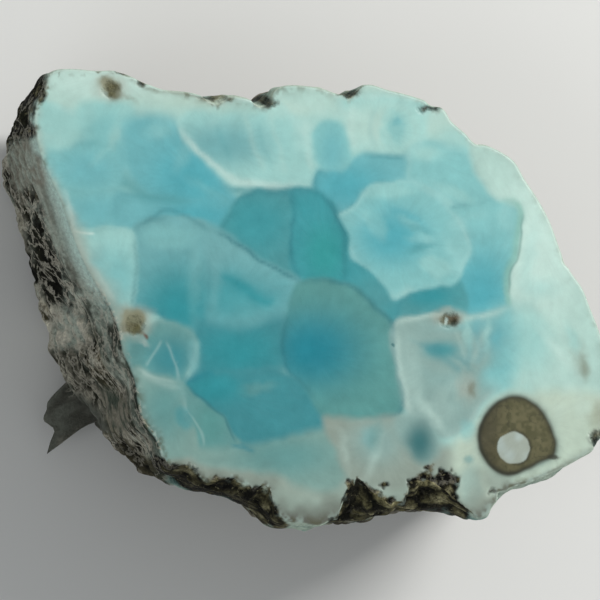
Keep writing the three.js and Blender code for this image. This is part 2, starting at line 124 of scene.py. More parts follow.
# Angle in degrees, then shoulder, belly inset, foot inset and depth where it turns rough
FLANK = [
    (8, 0.2, 3.4, 9, 0.8), (30, 0.3, 2, 6.5, 0.8), (52, 0.2, 2.8, 8, 0.8),
    (74, 0.3, 1.4, 6, 0.8), (95, 0.2, 3, 8, 0.8), (114, 0.3, 1.8, 6, 0.8),
    (133, 0.4, 2.6, 8, 1), (146, 0.8, 3.2, 9, 1.4), (157, 1.2, 3.6, 9, 3.2),
    (166, 1.3, 2.4, 8, 3.6), (174, 1.3, 1, 6, 4), (184, 1.3, -0.3, 5, 4.2),
    (193, 1.2, -1.3, 5, 3.8), (203, 0.9, -0.8, 5, 3), (212, 0.6, 1, 7, 2),
    (222, 0.5, 3, 9, 1.2), (232, 0.5, 4.4, 10, 0.8), (246, 0.5, 3.5, 8, 0.6),
    (262, 0.4, 3.4, 8, 0.6), (285, 0.5, 2.7, 7, 0.5), (306, 0.4, 3, 8, 0.5),
    (322, 0.3, 2.2, 7, 0.6), (341, 0.2, 3.2, 9, 0.8),
]

# Chips in the edge of the face: place, half width, bite into the face, depth
CHIPS = [
    (-30.9, 25.4, 1.6, 0.5, 2.4), (-20.9, 27.2, 0.8, 0.55, 1.2), (-19.2, 26.4, 0.6, 0.45, 1),
    (-10.2, 24.4, 1.6, 0.8, 1.8), (-4.4, 23.9, 1.5, 0.9, 2), (6.4, 25.1, 1, 0.7, 1.5),
    (15.9, 23.5, 1, 0.3, 1.5), (31.9, 4.6, 0.8, 0.3, 1.2), (36.4, -17.3, 0.9, 1.1, 2),
    (24.4, -23.7, 0.8, 0.7, 1.6), (16.2, -24.9, 3.4, 3.9, 3.4), (12.3, -25.6, 1.3, 1.4, 2.6),
    (8.1, -26, 3.8, 3.3, 3.2),
    (-4.4, -24.4, 1.6, 1.5, 2.4), (-8, -22.9, 3, 1.1, 2), (-13, -21, 2.4, 0.7, 1.6),
]

# Large broken planes: direction and half width in degrees, depth, slope under the stone
BREAKS = [
    (340, 18, 15, 34), (6, 24, 10, 20), (36, 20, 15, 34), (62, 16, 8, 14), (88, 20, 13, 30),
    (116, 16, 9, 16), (142, 14, 14, 24), (236, 14, 15, 20), (266, 15, 3, 23),
    (309, 15, 3.5, 18),
]

# Shallow pits in the face: place, radius, depth
PITS = [(-22.6, 25.2, 1.1, 0.2), (-19.6, -3, 1.4, 0.25), (18, -2.4, 1.1, 0.25)]

# Fin low on the left and the splinter at its corner: angle and half width in degrees,
# reach, half height, lean from straight outward, taper
FINS = [(208.2, 7.3, 5.8, 2.2, 0, 2), (212.6, 1.7, 4.2, 1.4, 18, 1)]
FIN_DEPTH = 21.5

# Finer relief that only this mesh has
CRUMB_SIZE, CRUMB_RELIEF, CRUMB_FLATNESS = 2, 0.3, 2
GRIT_SIZE, GRIT_RELIEF, GRIT_FLATNESS = 0.95, 0.13, 1.6
STRAND_SIZE, STRAND_RELIEF = 0.8, 0.14

# Mesh density in mm
COLUMN_STEP = 0.34
EDGE_ROWS = [0, 0.03, 0.08, 0.15, RIM_ROUND]
ROW_STEP, LOW_ROW_STEP, LOW_ROWS_FROM = 0.3, 0.4, 7.15
UNDER_ROWS = 16
FACE_STEP, DETAIL_STEP, FOOT_STEP = 0.36, 0.15, 1.0
FACE_MARGIN, DETAIL_MARGIN, FOOT_MARGIN = 0.2, 0.12, 0.6
ROWS_OVER, COLUMNS_OVER, JITTER = (-34, 34), (-40, 44), 0.3

# Finely drawn things, which get the dense mesh: how far it reaches round them, the
# thinnest lines and the hardest spots that count, and where the rim is crumbly enough
DETAIL_REACH = {"ring": 0.5, "eye": 0.45, "dark rock": 0.55, "line": 0.45, "spot": 0.3}
FINE_WIDTH, FINE_SOFTNESS, FINE_CRUMBS = 0.4, 0.45, 0.5

# Dark rock in the face: how deep it lies, and how its crumbs stand out of it
DARK_SUNK, DARK_CRUMBS = 0.16, 0.12
DARK_CRUMB_SIZE, DARK_GRAIN_SIZE = 1.1, 0.6


def smooth(low, high, value):
    t = np.clip((value - low) / (high - low), 0, 1)
    return t * t * (3 - 2 * t)


def on_face(x, y):
    """Point of the face plane that the eye sees at x, y."""
    plane_x = x / TURN_COS
    return plane_x, (y + TIP_SIN * TURN_SIN * plane_x) / TIP_COS


def as_seen(points, depth=0.0):
    """Where the eye sees points at x, y that lie this far below the face plane."""
    x, y = points[..., 0], points[..., 1]
    across = x * TURN_COS - depth * TURN_SIN
    upward = y * TIP_COS - TIP_SIN * (x * TURN_SIN + depth * TURN_COS)
    return np.stack([across, upward], -1)


def flat(spots):
    """Points in a plane as places for noise."""
    return np.column_stack([spots, np.zeros(len(spots))])


def directions(points):
    """Direction in degrees of points from the middle, seen from above."""
    return np.degrees(np.arctan2(points[:, 1], points[:, 0])) % 360


# Noise, the same as in the CAD model. Each use of it has a seed of its own.
WORD = 0xFFFFFFFF


def chance(x, y, z, seed):
    """Repeatable random number from 0 to 1 for a lattice point."""
    x, y, z = (np.asarray(v).astype(np.int64) & WORD for v in (x, y, z))
    h = (x * 374761393 + y * 668265263) & WORD
    h = (h + ((z * 1274126177) & WORD) + ((seed * 974634777) & WORD)) & WORD
    h = ((h ^ (h >> 13)) * 1103515245) & WORD
    h = ((h ^ (h >> 16)) * 668265263) & WORD
    return ((h ^ (h >> 15)) & WORD) / 4294967296


def swell(points, size, seed):
    """Soft swell from -1 to 1 with bumps about one size apart."""
    scaled = points / size
    cell = np.floor(scaled).astype(np.int64)
    part = scaled - cell
    part = part * part * (3 - 2 * part)
    total = 0
    for corner in range(8):
        step = (corner & 1, (corner >> 1) & 1, corner >> 2)
        weight = 1
        for i in range(3):
            weight = weight * (part[..., i] if step[i] else 1 - part[..., i])
        total = total + weight * chance(*(cell[..., i] + step[i] for i in range(3)), seed)
    return 2 * total - 1


def seeds_near(points, size, seed):
    """Square distance, height and tilt of each of the 27 random seeds round a point."""
    scaled = points / size
    base = np.floor(scaled).astype(np.int64)
    for n in range(27):
        step = (n % 3 - 1, n // 3 % 3 - 1, n // 9 - 1)
        cell = [base[..., i] + step[i] for i in range(3)]
        gap = [scaled[..., i] - cell[i] - chance(*cell, seed + i) for i in range(3)]
        lean = [2 * chance(*cell, seed + 3 + i) - 1 for i in range(3)]
        square = gap[0] ** 2 + gap[1] ** 2 + gap[2] ** 2
        yield square, chance(*cell, seed + 6), sum(g * k for g, k in zip(gap, lean))


def soft_least(values):
    """Least of some values, with the corner between them rounded."""
    values = np.stack(values)
    least = values.min(0)
    total = np.exp(-CORNER_SHARPNESS * (values - least)).sum(0)
    return least - np.log(total) / CORNER_SHARPNESS


def facets(points, size, seed):
    """Broken surface of tilted facets that meet in ridges, about -1 to 1."""
    values = [
        FACET_HEIGHT * height + FACET_TILT * tilt + FACET_BOWL * square
        for square, height, tilt in seeds_near(points, size, seed)
    ]
    return 2 * soft_least(values) - FACET_LEVEL


def knobs(points, size, seed):
    """Rounded knobs with creases between them, about -1 to 1."""
    values = [
        KNOB_BOWL * square - KNOB_HEIGHT * height
        for square, height, _ in seeds_near(points, size, seed)
    ]
    return np.maximum(KNOB_CREASE, -KNOB_GAIN * soft_least(values) + KNOB_LEVEL)


def around_by(stations):
    """Smooth closed curve through stations given by angle."""
    table = np.array(sorted(stations), float)
    angles, values = table[:, 0], table[:, 1:]
    count = len(angles)

    def at(degrees):
        degrees = (np.asarray(degrees, float) - angles[0]) % 360 + angles[0]
        i = np.searchsorted(angles, degrees, side="right") - 1
        a = [angles[(i + k) % count] + 360 * ((i + k) // count) for k in (-1, 0, 1, 2)]
        v = [values[(i + k) % count] for k in (-1, 0, 1, 2)]
        span = (a[2] - a[1])[..., None]
        f = ((degrees - a[1]) / (a[2] - a[1]))[..., None]
        slope_from = (v[2] - v[0]) / (a[2] - a[0])[..., None]
        slope_to = (v[3] - v[1]) / (a[3] - a[1])[..., None]
        rise = v[2] - v[1]
        ease = (1 - f) * (slope_from * span - rise) + f * (rise - slope_to * span)
        return v[1] + f * rise + f * (1 - f) * ease

    return at


def polar(x, y):
    return math.degrees(math.atan2(y, x)) % 360, math.hypot(x, y)


outline = [on_face(*p) for p in RIGHT_SIDE + TOP_SIDE + LEFT_SIDE + BOTTOM_SIDE]
rim_curve = around_by([polar(*p) for p in outline])
flank_at = around_by(FLANK)


def rim_radius(degrees):
    return rim_curve(degrees)[..., 0]


def rim_point(degrees):
    turn, radius = np.radians(degrees), rim_radius(degrees)
    return np.stack([radius * np.cos(turn), radius * np.sin(turn)], -1)


def even_radius(degrees):
    """The outline with its small bumps evened out, which the lower flank follows."""
    return np.mean([rim_radius(degrees + offset) for offset in EVEN_OFFSETS], 0)


def angle_between(a, b):
    return np.abs((a - b + 180) % 360 - 180)


def chip_inset(degrees, depth):
    """How far the chips lie inside the outline at this depth."""
    place = np.stack([degrees / 3, depth / 2, 0 * degrees], -1)
    jag = 1 + 0.3 * swell(place, 1, 91) + 0.2 * swell(place, 0.45, 95)
    deepest = np.zeros_like(degrees)
    for x, y, half_width, bite, chip_depth in CHIPS:
        angle, radius = polar(*on_face(x, y))
        off = angle_between(degrees, angle) / math.degrees(half_width / radius)
        down = np.maximum(0, 1 - depth / chip_depth)
        across = np.maximum(0, 1 - off**CHIP_ROUNDNESS)
        inset = bite * jag * across * down**CHIP_CURVE
        deepest = np.maximum(deepest, inset)
    return deepest


def facing(degrees):
    """Direction in degrees that the flank faces, seen from above."""
    along = rim_point(degrees + FACING_SPAN) - rim_point(degrees - FACING_SPAN)
    return polar(*along)[0] - 90


def break_inset(degrees, depth, radius):
    """How far the large planes cut inside a radius at this depth."""
    deepest = np.zeros_like(degrees)
    for angle, half_width, start, slope in BREAKS:
        normal = facing(angle)
        reach = float(rim_radius(angle)) * math.cos(math.radians(angle - normal))
        lean = reach + (start - depth) * math.tan(math.radians(slope))
        plane = lean / np.maximum(LEAST_FACING, np.cos(np.radians(degrees - normal)))
        part = 1 - smooth(*BREAK_FADE, angle_between(degrees, angle) / half_width)
        cut = part * smooth(*BREAK_BETWEEN, depth) * np.clip(radius - plane, 0, BREAK_LIMIT)
        deepest = np.maximum(deepest, cut)
    return deepest


def fin_offset(degrees, depth):
    """How far the fin and its splinter carry the skin at this direction and depth."""
    offset = np.zeros(degrees.shape + (2,))
    for angle, half_width, reach, half_height, lean, taper in FINS:
        across = 1 - (angle_between(degrees, angle) / half_width) ** taper
        high = 1 - ((depth - FIN_DEPTH) / half_height) ** 2
        turn = np.radians(degrees + lean)
        out = reach * np.maximum(0, across) * np.sqrt(np.maximum(0, high))
        offset += out[..., None] * np.stack([np.cos(turn), np.sin(turn)], -1)
    return offset


def soft_ramp(value):
    """Nothing for values well below 0, the value itself well above it."""
    return (value + np.hypot(value, HOLD_SOFTNESS)) / 2


def skin(degrees, depth, undercut):
    """Points of the stone's skin, how rough they are and their fine relief, for a
    direction, a depth below the face and an undercut step from 0 to 1."""
    flare, belly, foot, rough_from = np.moveaxis(flank_at(degrees), -1, 0)
    turn = np.radians(degrees)
    down = smooth(0, BROW_DEPTH, depth) * -flare
    low = np.maximum(0, (depth - BROW_DEPTH) / (BELLY_DEPTH - BROW_DEPTH))
    under = (foot - belly) * undercut**FOOT_CURVE
    inset = down + (belly + flare) * low**BELLY_CURVE + under
    bevel = RIM_INSET * (1 - np.sqrt(1 - np.clip(1 - depth / RIM_ROUND, 0, 1) ** 2))
    foot_height = (THICKNESS - BELLY_DEPTH) * (1 - undercut)
    z = np.where(undercut > 0, foot_height, THICKNESS - depth)
    settled = EVENNESS * smooth(*EVENED_BETWEEN, depth)
    edge = rim_radius(degrees)
    upright = edge + settled * (even_radius(degrees) - edge) - inset - bevel
    cut = break_inset(degrees, depth, upright) * (1 - undercut)
    radius = upright - chip_inset(degrees, depth) - cut
    point = np.stack([radius * np.cos(turn), radius * np.sin(turn), z], -1)

    def bumps(kind, size, flatness, seed):
        return kind(point * (1, 1, flatness), size, seed)

    sides = 1 - undercut**3
    rough = smooth(rough_from + ROUGH_BETWEEN[0], rough_from + ROUGH_BETWEEN[1], depth) * sides
    faint = smooth(*FAINT_BETWEEN, depth) * sides
    facet_share = FAINT_FACETS * faint + (1 - FAINT_FACETS) * rough
    lump_share = FAINT_LUMPS * faint + (1 - FAINT_LUMPS) * rough
    crease = np.exp(-(((depth - CREASE_DEPTH) / CREASE_WIDTH) ** 2)) * smooth(*CREASE_FLARE, flare)
    relief = (
        SWELL_RELIEF * swell(point, SWELL_SIZE, 11) * smooth(*SWELL_BETWEEN, depth)
        + FACET_RELIEF * bumps(facets, FACET_SIZE, FACET_FLATNESS, 21) * facet_share
        + LUMP_RELIEF * bumps(knobs, LUMP_SIZE, LUMP_FLATNESS, 41) * lump_share
        - CREASE_RELIEF * crease
    )
    strand_place = np.stack([degrees / 4, 2 * depth + 5 * undercut, 0 * degrees], -1)
    strands = swell(strand_place, STRAND_SIZE, 81)
    crumbs = bumps(knobs, CRUMB_SIZE, CRUMB_FLATNESS, 61)
    grit = bumps(knobs, GRIT_SIZE, GRIT_FLATNESS, 71)
    fine = CRUMB_RELIEF * crumbs + GRIT_RELIEF * grit + STRAND_RELIEF * strands
    relief = relief + fine * rough
    downward = undercut * DOWNWARD_TURN
    outward = relief * np.cos(downward)
    room = EDGE_ROOM + ROOM_BY_DEPTH * depth + SHOULDER_ROOM * smooth(*SHOULDER_FLARE, flare)
    beyond = radius + outward - edge - room
    outward = outward - smooth(*HELD_BETWEEN, depth) * soft_ramp(beyond)
    fin = fin_offset(degrees, THICKNESS - z)
    point[..., 0] += outward * np.cos(turn) + fin[..., 0]
    point[..., 1] += outward * np.sin(turn) + fin[..., 1]
    lowered = np.maximum(FOOT_CLEARANCE, point[..., 2] - relief * np.sin(downward))
    point[..., 2] = np.where(undercut < 1, lowered, 0)
    return point, rough, crumbs + 0.5 * grit


def even_directions(step):
    """Directions that stand one step apart along the outline."""
    fine = np.arange(0, 360.01, 0.25)
    gaps = np.linalg.norm(np.diff(rim_point(fine), axis=0), axis=1)
    length = np.concatenate([[0], np.cumsum(gaps)])
    count = round(length[-1] / step)
    return np.interp(np.arange(count) * length[-1] / count, length, fine)


def pit_depth(points):
    """How deep the pits in the face are at points of the face plane."""
    x, y = points.T
    place = flat(points)
    ragged = 1 + 0.35 * swell(place, 0.8, 31)
    floor = 1 + 0.3 * swell(place, 0.5, 33)
    depth = np.zeros_like(x)
    for pit_x, pit_y, radius, deep in PITS:
        at_x, at_y = on_face(pit_x, pit_y)
        off = np.hypot(x - at_x, y - at_y) / (radius * ragged)
        depth = np.maximum(depth, deep * floor * (1 - smooth(0.3, 1, off)))
    return depth


# Colours of the stone, as 8-bit sRGB
PALETTE = {
    "snow": (196, 224, 214), "milk": (176, 209, 199), "frost": (158, 206, 200),
    "aqua": (132, 192, 191), "sky": (114, 181, 185), "haze": (116, 174, 176),
    "azure": (84, 170, 180), "teal": (64, 153, 160), "lagoon": (50, 146, 154),
    "deep": (22, 132, 147), "jade": (52, 152, 152), "sea": (80, 153, 157),
    "reef": (66, 142, 149), "sage": (92, 152, 148), "mist": (104, 155, 152),
    "dust": (130, 164, 156), "cream": (146, 160, 149), "ivory": (186, 204, 187),
    "shell": (160, 180, 168), "fern": (132, 184, 172), "moss": (97, 139, 130),
    "pool": (60, 112, 114), "vein": (46, 116, 124), "foam": (208, 230, 221),
    "olive": (102, 98, 68), "ring": (80, 79, 50), "ink": (42, 44, 28),
    "umber": (104, 100, 74), "rust": (104, 66, 50), "sand": (136, 132, 102),
    "pearl": (170, 184, 177), "rose": (170, 172, 158), "char": (30, 31, 21),
    "soot": (14, 14, 9), "stone": (128, 125, 112), "chalk": (196, 192, 176),
    "slate": (66, 76, 66), "gold": (128, 112, 72), "earth": (60, 56, 38),
    "bark": (78, 75, 52), "ash": (158, 168, 156), "haar": (140, 171, 165),
    "lead": (74, 74, 67), "flint": (100, 103, 94),
}

# Light that the polish adds to every colour of the face
SHEEN = 0.014

# Patches of the face from the lowest to the topmost: colour at the edge and at the heart,
# place and size of the heart, softness of the edge, how pale (above 0) or dark (below 0)
# the seam round it is, and outline, all as seen. Their colours are paler towards the top and
# right and darker towards the bottom left: partly the stone's own colours and partly the
# light's fall across the face, painted in.
PATCHES = [
    ("milk", "snow", (-22, 27), (9, 3), 2.0, 0, [
        (-32, 22), (-33, 28), (-28, 30), (-15, 29), (0, 28), (14, 26), (19, 22), (14, 20),
        (6, 22.6), (0, 22.8), (-10, 23.6), (-20, 24), (-27, 23.4)]),
    ("cream", "shell", (0, -25), (22, 3), 2.4, 0, [
        (-26, 2), (-21, -2), (-20.6, -9), (-18.6, -15), (-13, -18.6), (-5, -20), (4, -19),
        (12, -17), (18, -18), (22, -22), (24, -29), (0, -31), (-20, -23), (-26, -12)]),
    ("frost", "frost", (-28.6, 20.6), (2.6, 2.6), 0.7, 0.25, [
        (-31.9, 23), (-29.6, 23.4), (-27, 22.2), (-26, 20), (-26.4, 18.2), (-28.6, 17.2),
        (-30.6, 17.4), (-31.8, 19.6)]),
    ("frost", "aqua", (-23.4, 20), (3, 3), 1.4, 0, [
        (-26.3, 23.4), (-20.4, 23), (-20.2, 19.4), (-21.6, 17.3), (-25.6, 17.6),
        (-26.4, 19.8)]),
    ("aqua", "sky", (-25.2, 15.4), (4.2, 2.6), 1.4, -0.1, [
        (-30.4, 17), (-27.4, 17.7), (-25.6, 18.8), (-21.8, 18.2), (-21.3, 15), (-21.8, 13.4),
        (-25.6, 12.8), (-29.6, 13.4)]),
    ("aqua", "sky", (-24, 10.6), (4, 2.4), 0.8, -0.15, [
        (-29.4, 13.6), (-25.6, 12.9), (-21.8, 13.2), (-20, 11.8), (-19.6, 9.2), (-21.6, 8.3),
        (-24.6, 8), (-27.2, 9.2), (-28, 11.4)]),
    ("sky", "azure", (-11.6, 10.4), (5, 2.6), 1.2, -0.12, [
        (-21.7, 12.6), (-16.8, 12.1), (-11.4, 11.8), (-7.9, 12.3), (-8.6, 10.2),
        (-9.6, 7.9), (-13.2, 9.1), (-15.6, 9.9), (-18, 9.6), (-20.2, 8.6), (-21.8, 8.8)]),
    ("sky", "azure", (-12.6, 14.6), (5.6, 4.4), 2.4, 0, [
        (-20.6, 21), (-17.8, 21.8), (-14.6, 20.6), (-12.5, 18), (-10.6, 15.6),
        (-8.9, 14), (-7.9, 12.6), (-9.4, 11.4), (-12, 11.6), (-16.8, 12.1), (-19.2, 13.2),
        (-20.9, 15.4), (-21.4, 18)]),
    ("frost", "haze", (-9.4, 18.6), (6.4, 2.8), 0.8, 0.15, [
        (-14.6, 20.8), (-13.2, 22.2), (-10.8, 23.2), (-6.6, 23.8), (-3, 23.4), (-1, 22),
        (0.7, 20), (2.2, 18.2), (2.8, 16.2), (2.2, 14.4), (0.6, 13.8), (-3, 13.7),
        (-6.2, 13.9), (-8.6, 14.4), (-10.8, 16.2), (-12.4, 18.2)]),
    ("frost", "milk", (9, 21), (5, 3), 1.4, 0.2, [
        (5.4, 24.5), (14.4, 24), (15.2, 21.8), (15, 19.2), (13.4, 17.8), (12, 17.2),
        (7.4, 17.3), (6, 19.2), (5.3, 21.8)]),
    ("sky", "azure", (5.6, 13.6), (5, 3), 0.9, -0.35, [
        (2.4, 15.4), (5.4, 16.2), (7.4, 17.2), (12, 17.2), (13.4, 17.4), (13.3, 16.1),
        (13, 14.3), (9.8, 14.1), (8.2, 13), (6.2, 11.3), (4.8, 10.4), (3.1, 12),
        (1.9, 13.2)]),
    ("aqua", "sky", (3.9, 17.8), (1.6, 3), 1.0, 0, [
        (2.2, 20.6), (3.2, 21.3), (4.3, 21.2), (5, 20.2), (5.5, 18.5), (5.8, 17),
        (5, 16), (3.2, 16), (2.4, 17), (2, 18.6)]),
    ("aqua", "frost", (15, 17.8), (2.2, 1), 1.2, 0.1, [
        (13, 17.8), (15.4, 18.8), (18.4, 18.6), (21.4, 16.8), (23.4, 13.8), (24, 12.4),
        (23.3, 11.4), (21.4, 11.5), (19.2, 11.2), (18, 12.2), (15.6, 13.6), (13, 14.3),
        (13.1, 16.1)]),
    ("aqua", "azure", (21.8, 0.6), (4.4, 6), 0.8, -0.3, [
        (18.4, 11), (21.6, 11.6), (24, 12.2), (26.4, 10.8), (26.2, 6), (25.3, 2.4),
        (25.4, -1), (21.6, -1.8), (19.2, -2.2), (18.6, 0), (18.8, 2.3), (19.9, 4.6),
        (20.5, 6.5), (19.8, 8.3)]),
    ("sea", "lagoon", (15.4, 0.6), (3, 1.4), 0.8, -0.3, [
        (11, -2.4), (11.5, -0.8), (13, 0.4), (14.4, 1.4), (16.8, 1.9), (19, 2.4),
        (19.9, 0), (19.6, -2), (16.8, -1.4), (15.4, -1.8), (13.2, -2.8), (11.5, -3)]),
    ("teal", "sea", (9, 0.4), (3, 3), 0.9, -0.3, [
        (5.2, 8), (7, 5), (8.5, 3.5), (10.4, 2.2), (12.2, 0.4), (11.9, -1.4),
        (10.9, -3), (9.6, -1.4), (7.8, 0.5), (6, 1.8), (5.4, 4.6)]),
    ("aqua", "azure", (11, 7.6), (4.4, 3.6), 0.7, 0.12, [
        (4.6, 9.6), (6.5, 11), (7.7, 12.4), (9.1, 13.8), (12, 14.1), (13.8, 13.8),
        (16.8, 12.1), (18.9, 10.1), (19.9, 7.9), (20.5, 6.4), (20.2, 4.8), (18.8, 2.3),
        (16.8, 2), (14.4, 1.6), (12.6, 0.7), (11.6, 0.2), (10.6, 1.7), (8.6, 3.4), (7, 5),
        (5.8, 6.7), (4.9, 8.2)]),
    ("sea", "teal", (-5.4, 9.2), (4.2, 3.6), 0.9, -0.4, [
        (-9.3, 7.9), (-8.4, 10.2), (-7.1, 12.2), (-4.3, 13.2), (-0.6, 13.2), (-0.2, 8),
        (-0.4, 2.6), (-2.4, 3.4), (-4.6, 4.6), (-6.6, 6.1)]),
    ("teal", "jade", (3, 5.6), (2.6, 3.6), 0.8, -0.4, [
        (-0.8, 13), (1, 13.2), (2.4, 12.6), (4.2, 10.7), (4.9, 8.7), (5.5, 6.5), (5.5, 2.4),
        (2.4, 2.3), (-0.4, 2.4), (-0.9, 7.2)]),
    ("haze", "lagoon", (-14.6, -1.2), (5.4, 5.6), 0.7, -0.3, [
        (-19.9, 8.2), (-18, 9.3), (-15.6, 9.9), (-13.2, 9.4), (-11.2, 8.6), (-10.6, 4),
        (-10.4, -2), (-10.2, -8.9), (-12.5, -9.1), (-12.7, -4.4), (-13.8, -3.4),
        (-16.2, -1.7), (-18, -1), (-19.9, -1), (-20.2, 3.6)]),
    ("haze", "teal", (-7.6, 0.6), (6, 3.2), 1.0, -0.2, [
        (-11.6, 8.8), (-8.9, 7.6), (-6.5, 6.1), (-4.6, 4.8), (-2.4, 3.6), (-0.2, 2.1),
        (-0.8, -1.2), (-1.4, -4.2), (-1.7, -7.9), (-6, -8.8), (-11, -8.8), (-11, -2),
        (-11, 4)]),
    ("reef", "lagoon", (-7.6, -6.2), (5, 2.8), 2.4, 0, [
        (-12.4, -3), (-7, -3.4), (-2, -2.4), (-1.5, -4.6), (-1.8, -7.9), (-6, -8.8),
        (-10.2, -9.1), (-12.4, -9.1)]),
    ("frost", "aqua", (-21.8, 2.6), (3, 3.6), 0.6, -0.2, [
        (-26.8, 7.9), (-24, 8.2), (-20.3, 8.2), (-19.8, 4.8), (-20.1, -0.8), (-21.8, -1.1),
        (-23, 0.6), (-24.4, 3.1), (-25.6, 5.3)]),
    ("mist", "dust", (-20.8, -8), (1.6, 6), 1.2, 0, [
        (-23.4, -0.6), (-21.4, -1.4), (-19.8, -3.6), (-20.6, -6.7), (-19.6, -8.6),
        (-19.5, -11.8), (-17.6, -16.8), (-15.8, -19), (-18, -19.4), (-20.4, -15.6),
        (-22.6, -8.4)]),
    ("mist", "reef", (-15.4, -7), (3, 2.6), 0.8, 0.1, [
        (-20.2, -3.8), (-18, -3.2), (-16.2, -2.2), (-13.8, -3.5), (-12.7, -4.4),
        (-12.5, -6.2), (-13.2, -8.4), (-14.3, -10.1), (-18, -9.1), (-19.7, -8.2),
        (-20.6, -6.2)]),
    ("reef", "lagoon", (-10.4, -10.6), (3.4, 2), 1.0, -0.25, [
        (-13.6, -10.3), (-11.4, -9.1), (-7.2, -8.6), (-3, -8.6), (0, -10.1), (2.2, -12.2),
        (3.1, -14.2), (3.6, -15.9), (0, -16.2), (-3.6, -17.1), (-5.5, -18), (-7.4, -17.4),
        (-8.2, -15.7), (-9.8, -13.6), (-12, -12)]),
    ("dust", "mist", (-16, -13), (3, 4), 0.8, 0, [
        (-19.7, -8.4), (-17.8, -9.1), (-14.4, -10.1), (-13.2, -12.6), (-12.4, -15),
        (-11.3, -17.6), (-15.4, -18.8), (-18, -16.8), (-19.2, -14.4), (-19.8, -11.8)]),
    ("mist", "sage", (-10.6, -14.6), (2, 3), 0.6, 0, [
        (-14.2, -10.3), (-12, -12), (-9.6, -13.8), (-8.2, -15.7), (-7.4, -17.2),
        (-9, -17.8), (-11.3, -18), (-12.4, -15), (-13.2, -12.6)]),
    ("sage", "deep", (1.4, -6), (6.2, 4.8), 0.8, -0.28, [
        (-0.4, 1.8), (2.4, 2.3), (5.4, 1.8), (7.4, 0.5), (10.2, -2.3), (10.9, -3.6),
        (11.4, -6.2), (11.8, -9.6), (12.4, -12.6), (11.4, -13.9), (7.8, -14.3),
        (3.6, -14.2), (1.6, -12.1), (0, -10), (-1.6, -8.2), (-1.9, -5.4), (-1.3, -2.2)]),
    ("dust", "mist", (-2, -18.6), (6, 2.6), 1.6, 0, [
        (-12.4, -18.2), (-8.2, -17.7), (-3.6, -17.1), (0, -16.2), (3.4, -15.7), (4.7, -18),
        (5.3, -20.6), (4.2, -22.4), (0, -22), (-2.4, -21), (-7.2, -19.8), (-11.4, -19.3)]),
    ("cream", "haar", (9.2, -17), (3.4, 2.8), 1.2, 0, [
        (3, -14.4), (7, -14.6), (12, -14.2), (13.2, -15.6), (14.2, -17.5), (15, -19.6),
        (13.2, -21.4), (11.4, -22.6), (8.4, -21.8), (5.5, -20.6), (4.4, -17.8)]),
    ("milk", "snow", (29, 7), (6, 9), 1.2, -0.15, [
        (21.1, 19.5), (24, 19), (29.4, 13), (34.4, 2), (38, -4.8), (38.4, -12),
        (32.4, -13.2), (28.8, -11), (28, -6), (25.6, -1.4), (25.6, 2.4), (26.4, 6),
        (26.8, 10.8), (23.8, 12.7), (21.6, 16)]),
    ("ivory", "ivory", (28, -15), (6, 6), 2.4, 0, [
        (20.8, -15.4), (24, -12), (28.8, -11.2), (38, -12.4), (38, -18), (27.6, -24.4),
        (24, -27.4), (20, -26.8), (18.8, -21.6), (18.4, -17.8)]),
    ("haar", "haze", (19.4, -6.4), (4.4, 3), 0.8, 0.2, [
        (11.3, -3.2), (14.4, -2.4), (17, -1.8), (21, -2), (25.4, -1.2), (26, -3.6),
        (26, -7.2), (25.2, -9.6), (23.6, -10.9), (21.6, -12.2), (20, -14.8), (17.4, -16.4),
        (14.8, -15.1), (13, -13.2), (12.3, -10.8), (11.6, -7.2)]),
    ("aqua", "haze", (22.4, -4.6), (3, 3), 3.2, 0, [
        (18, -2.2), (21, -2.2), (25.8, -1), (28, -2.4), (27.8, -6.8), (26.2, -10.4),
        (22.8, -10), (20.4, -7)]),
    ("milk", "frost", (27.6, -5), (3, 4), 3, 0, [
        (26.8, -1.2), (28.8, -2), (31, -4.6), (31, -8.2), (28.2, -10.2), (26.6, -10.6),
        (26.4, -6)]),
    ("haar", "sea", (17.2, -6), (2.2, 1), 2.4, 0, [
        (13.4, -4.8), (17.2, -3.6), (21.6, -4), (23, -6.6), (21.4, -9), (18.6, -9.4),
        (15.2, -8.4), (13, -6.6)]),
    ("haar", "pool", (14.4, -17.2), (1.8, 2.5), 1.4, 0.06, [
        (11.8, -14.2), (13.8, -13.8), (15.6, -15.4), (16.4, -17.5), (15.6, -19.2),
        (14, -19.2), (12.6, -17.8), (11.6, -15.9)]),
]

PATCH_OVERLAP, SEAM_WIDTH, HEART_SHAPE = 0.3, 0.5, 1.3

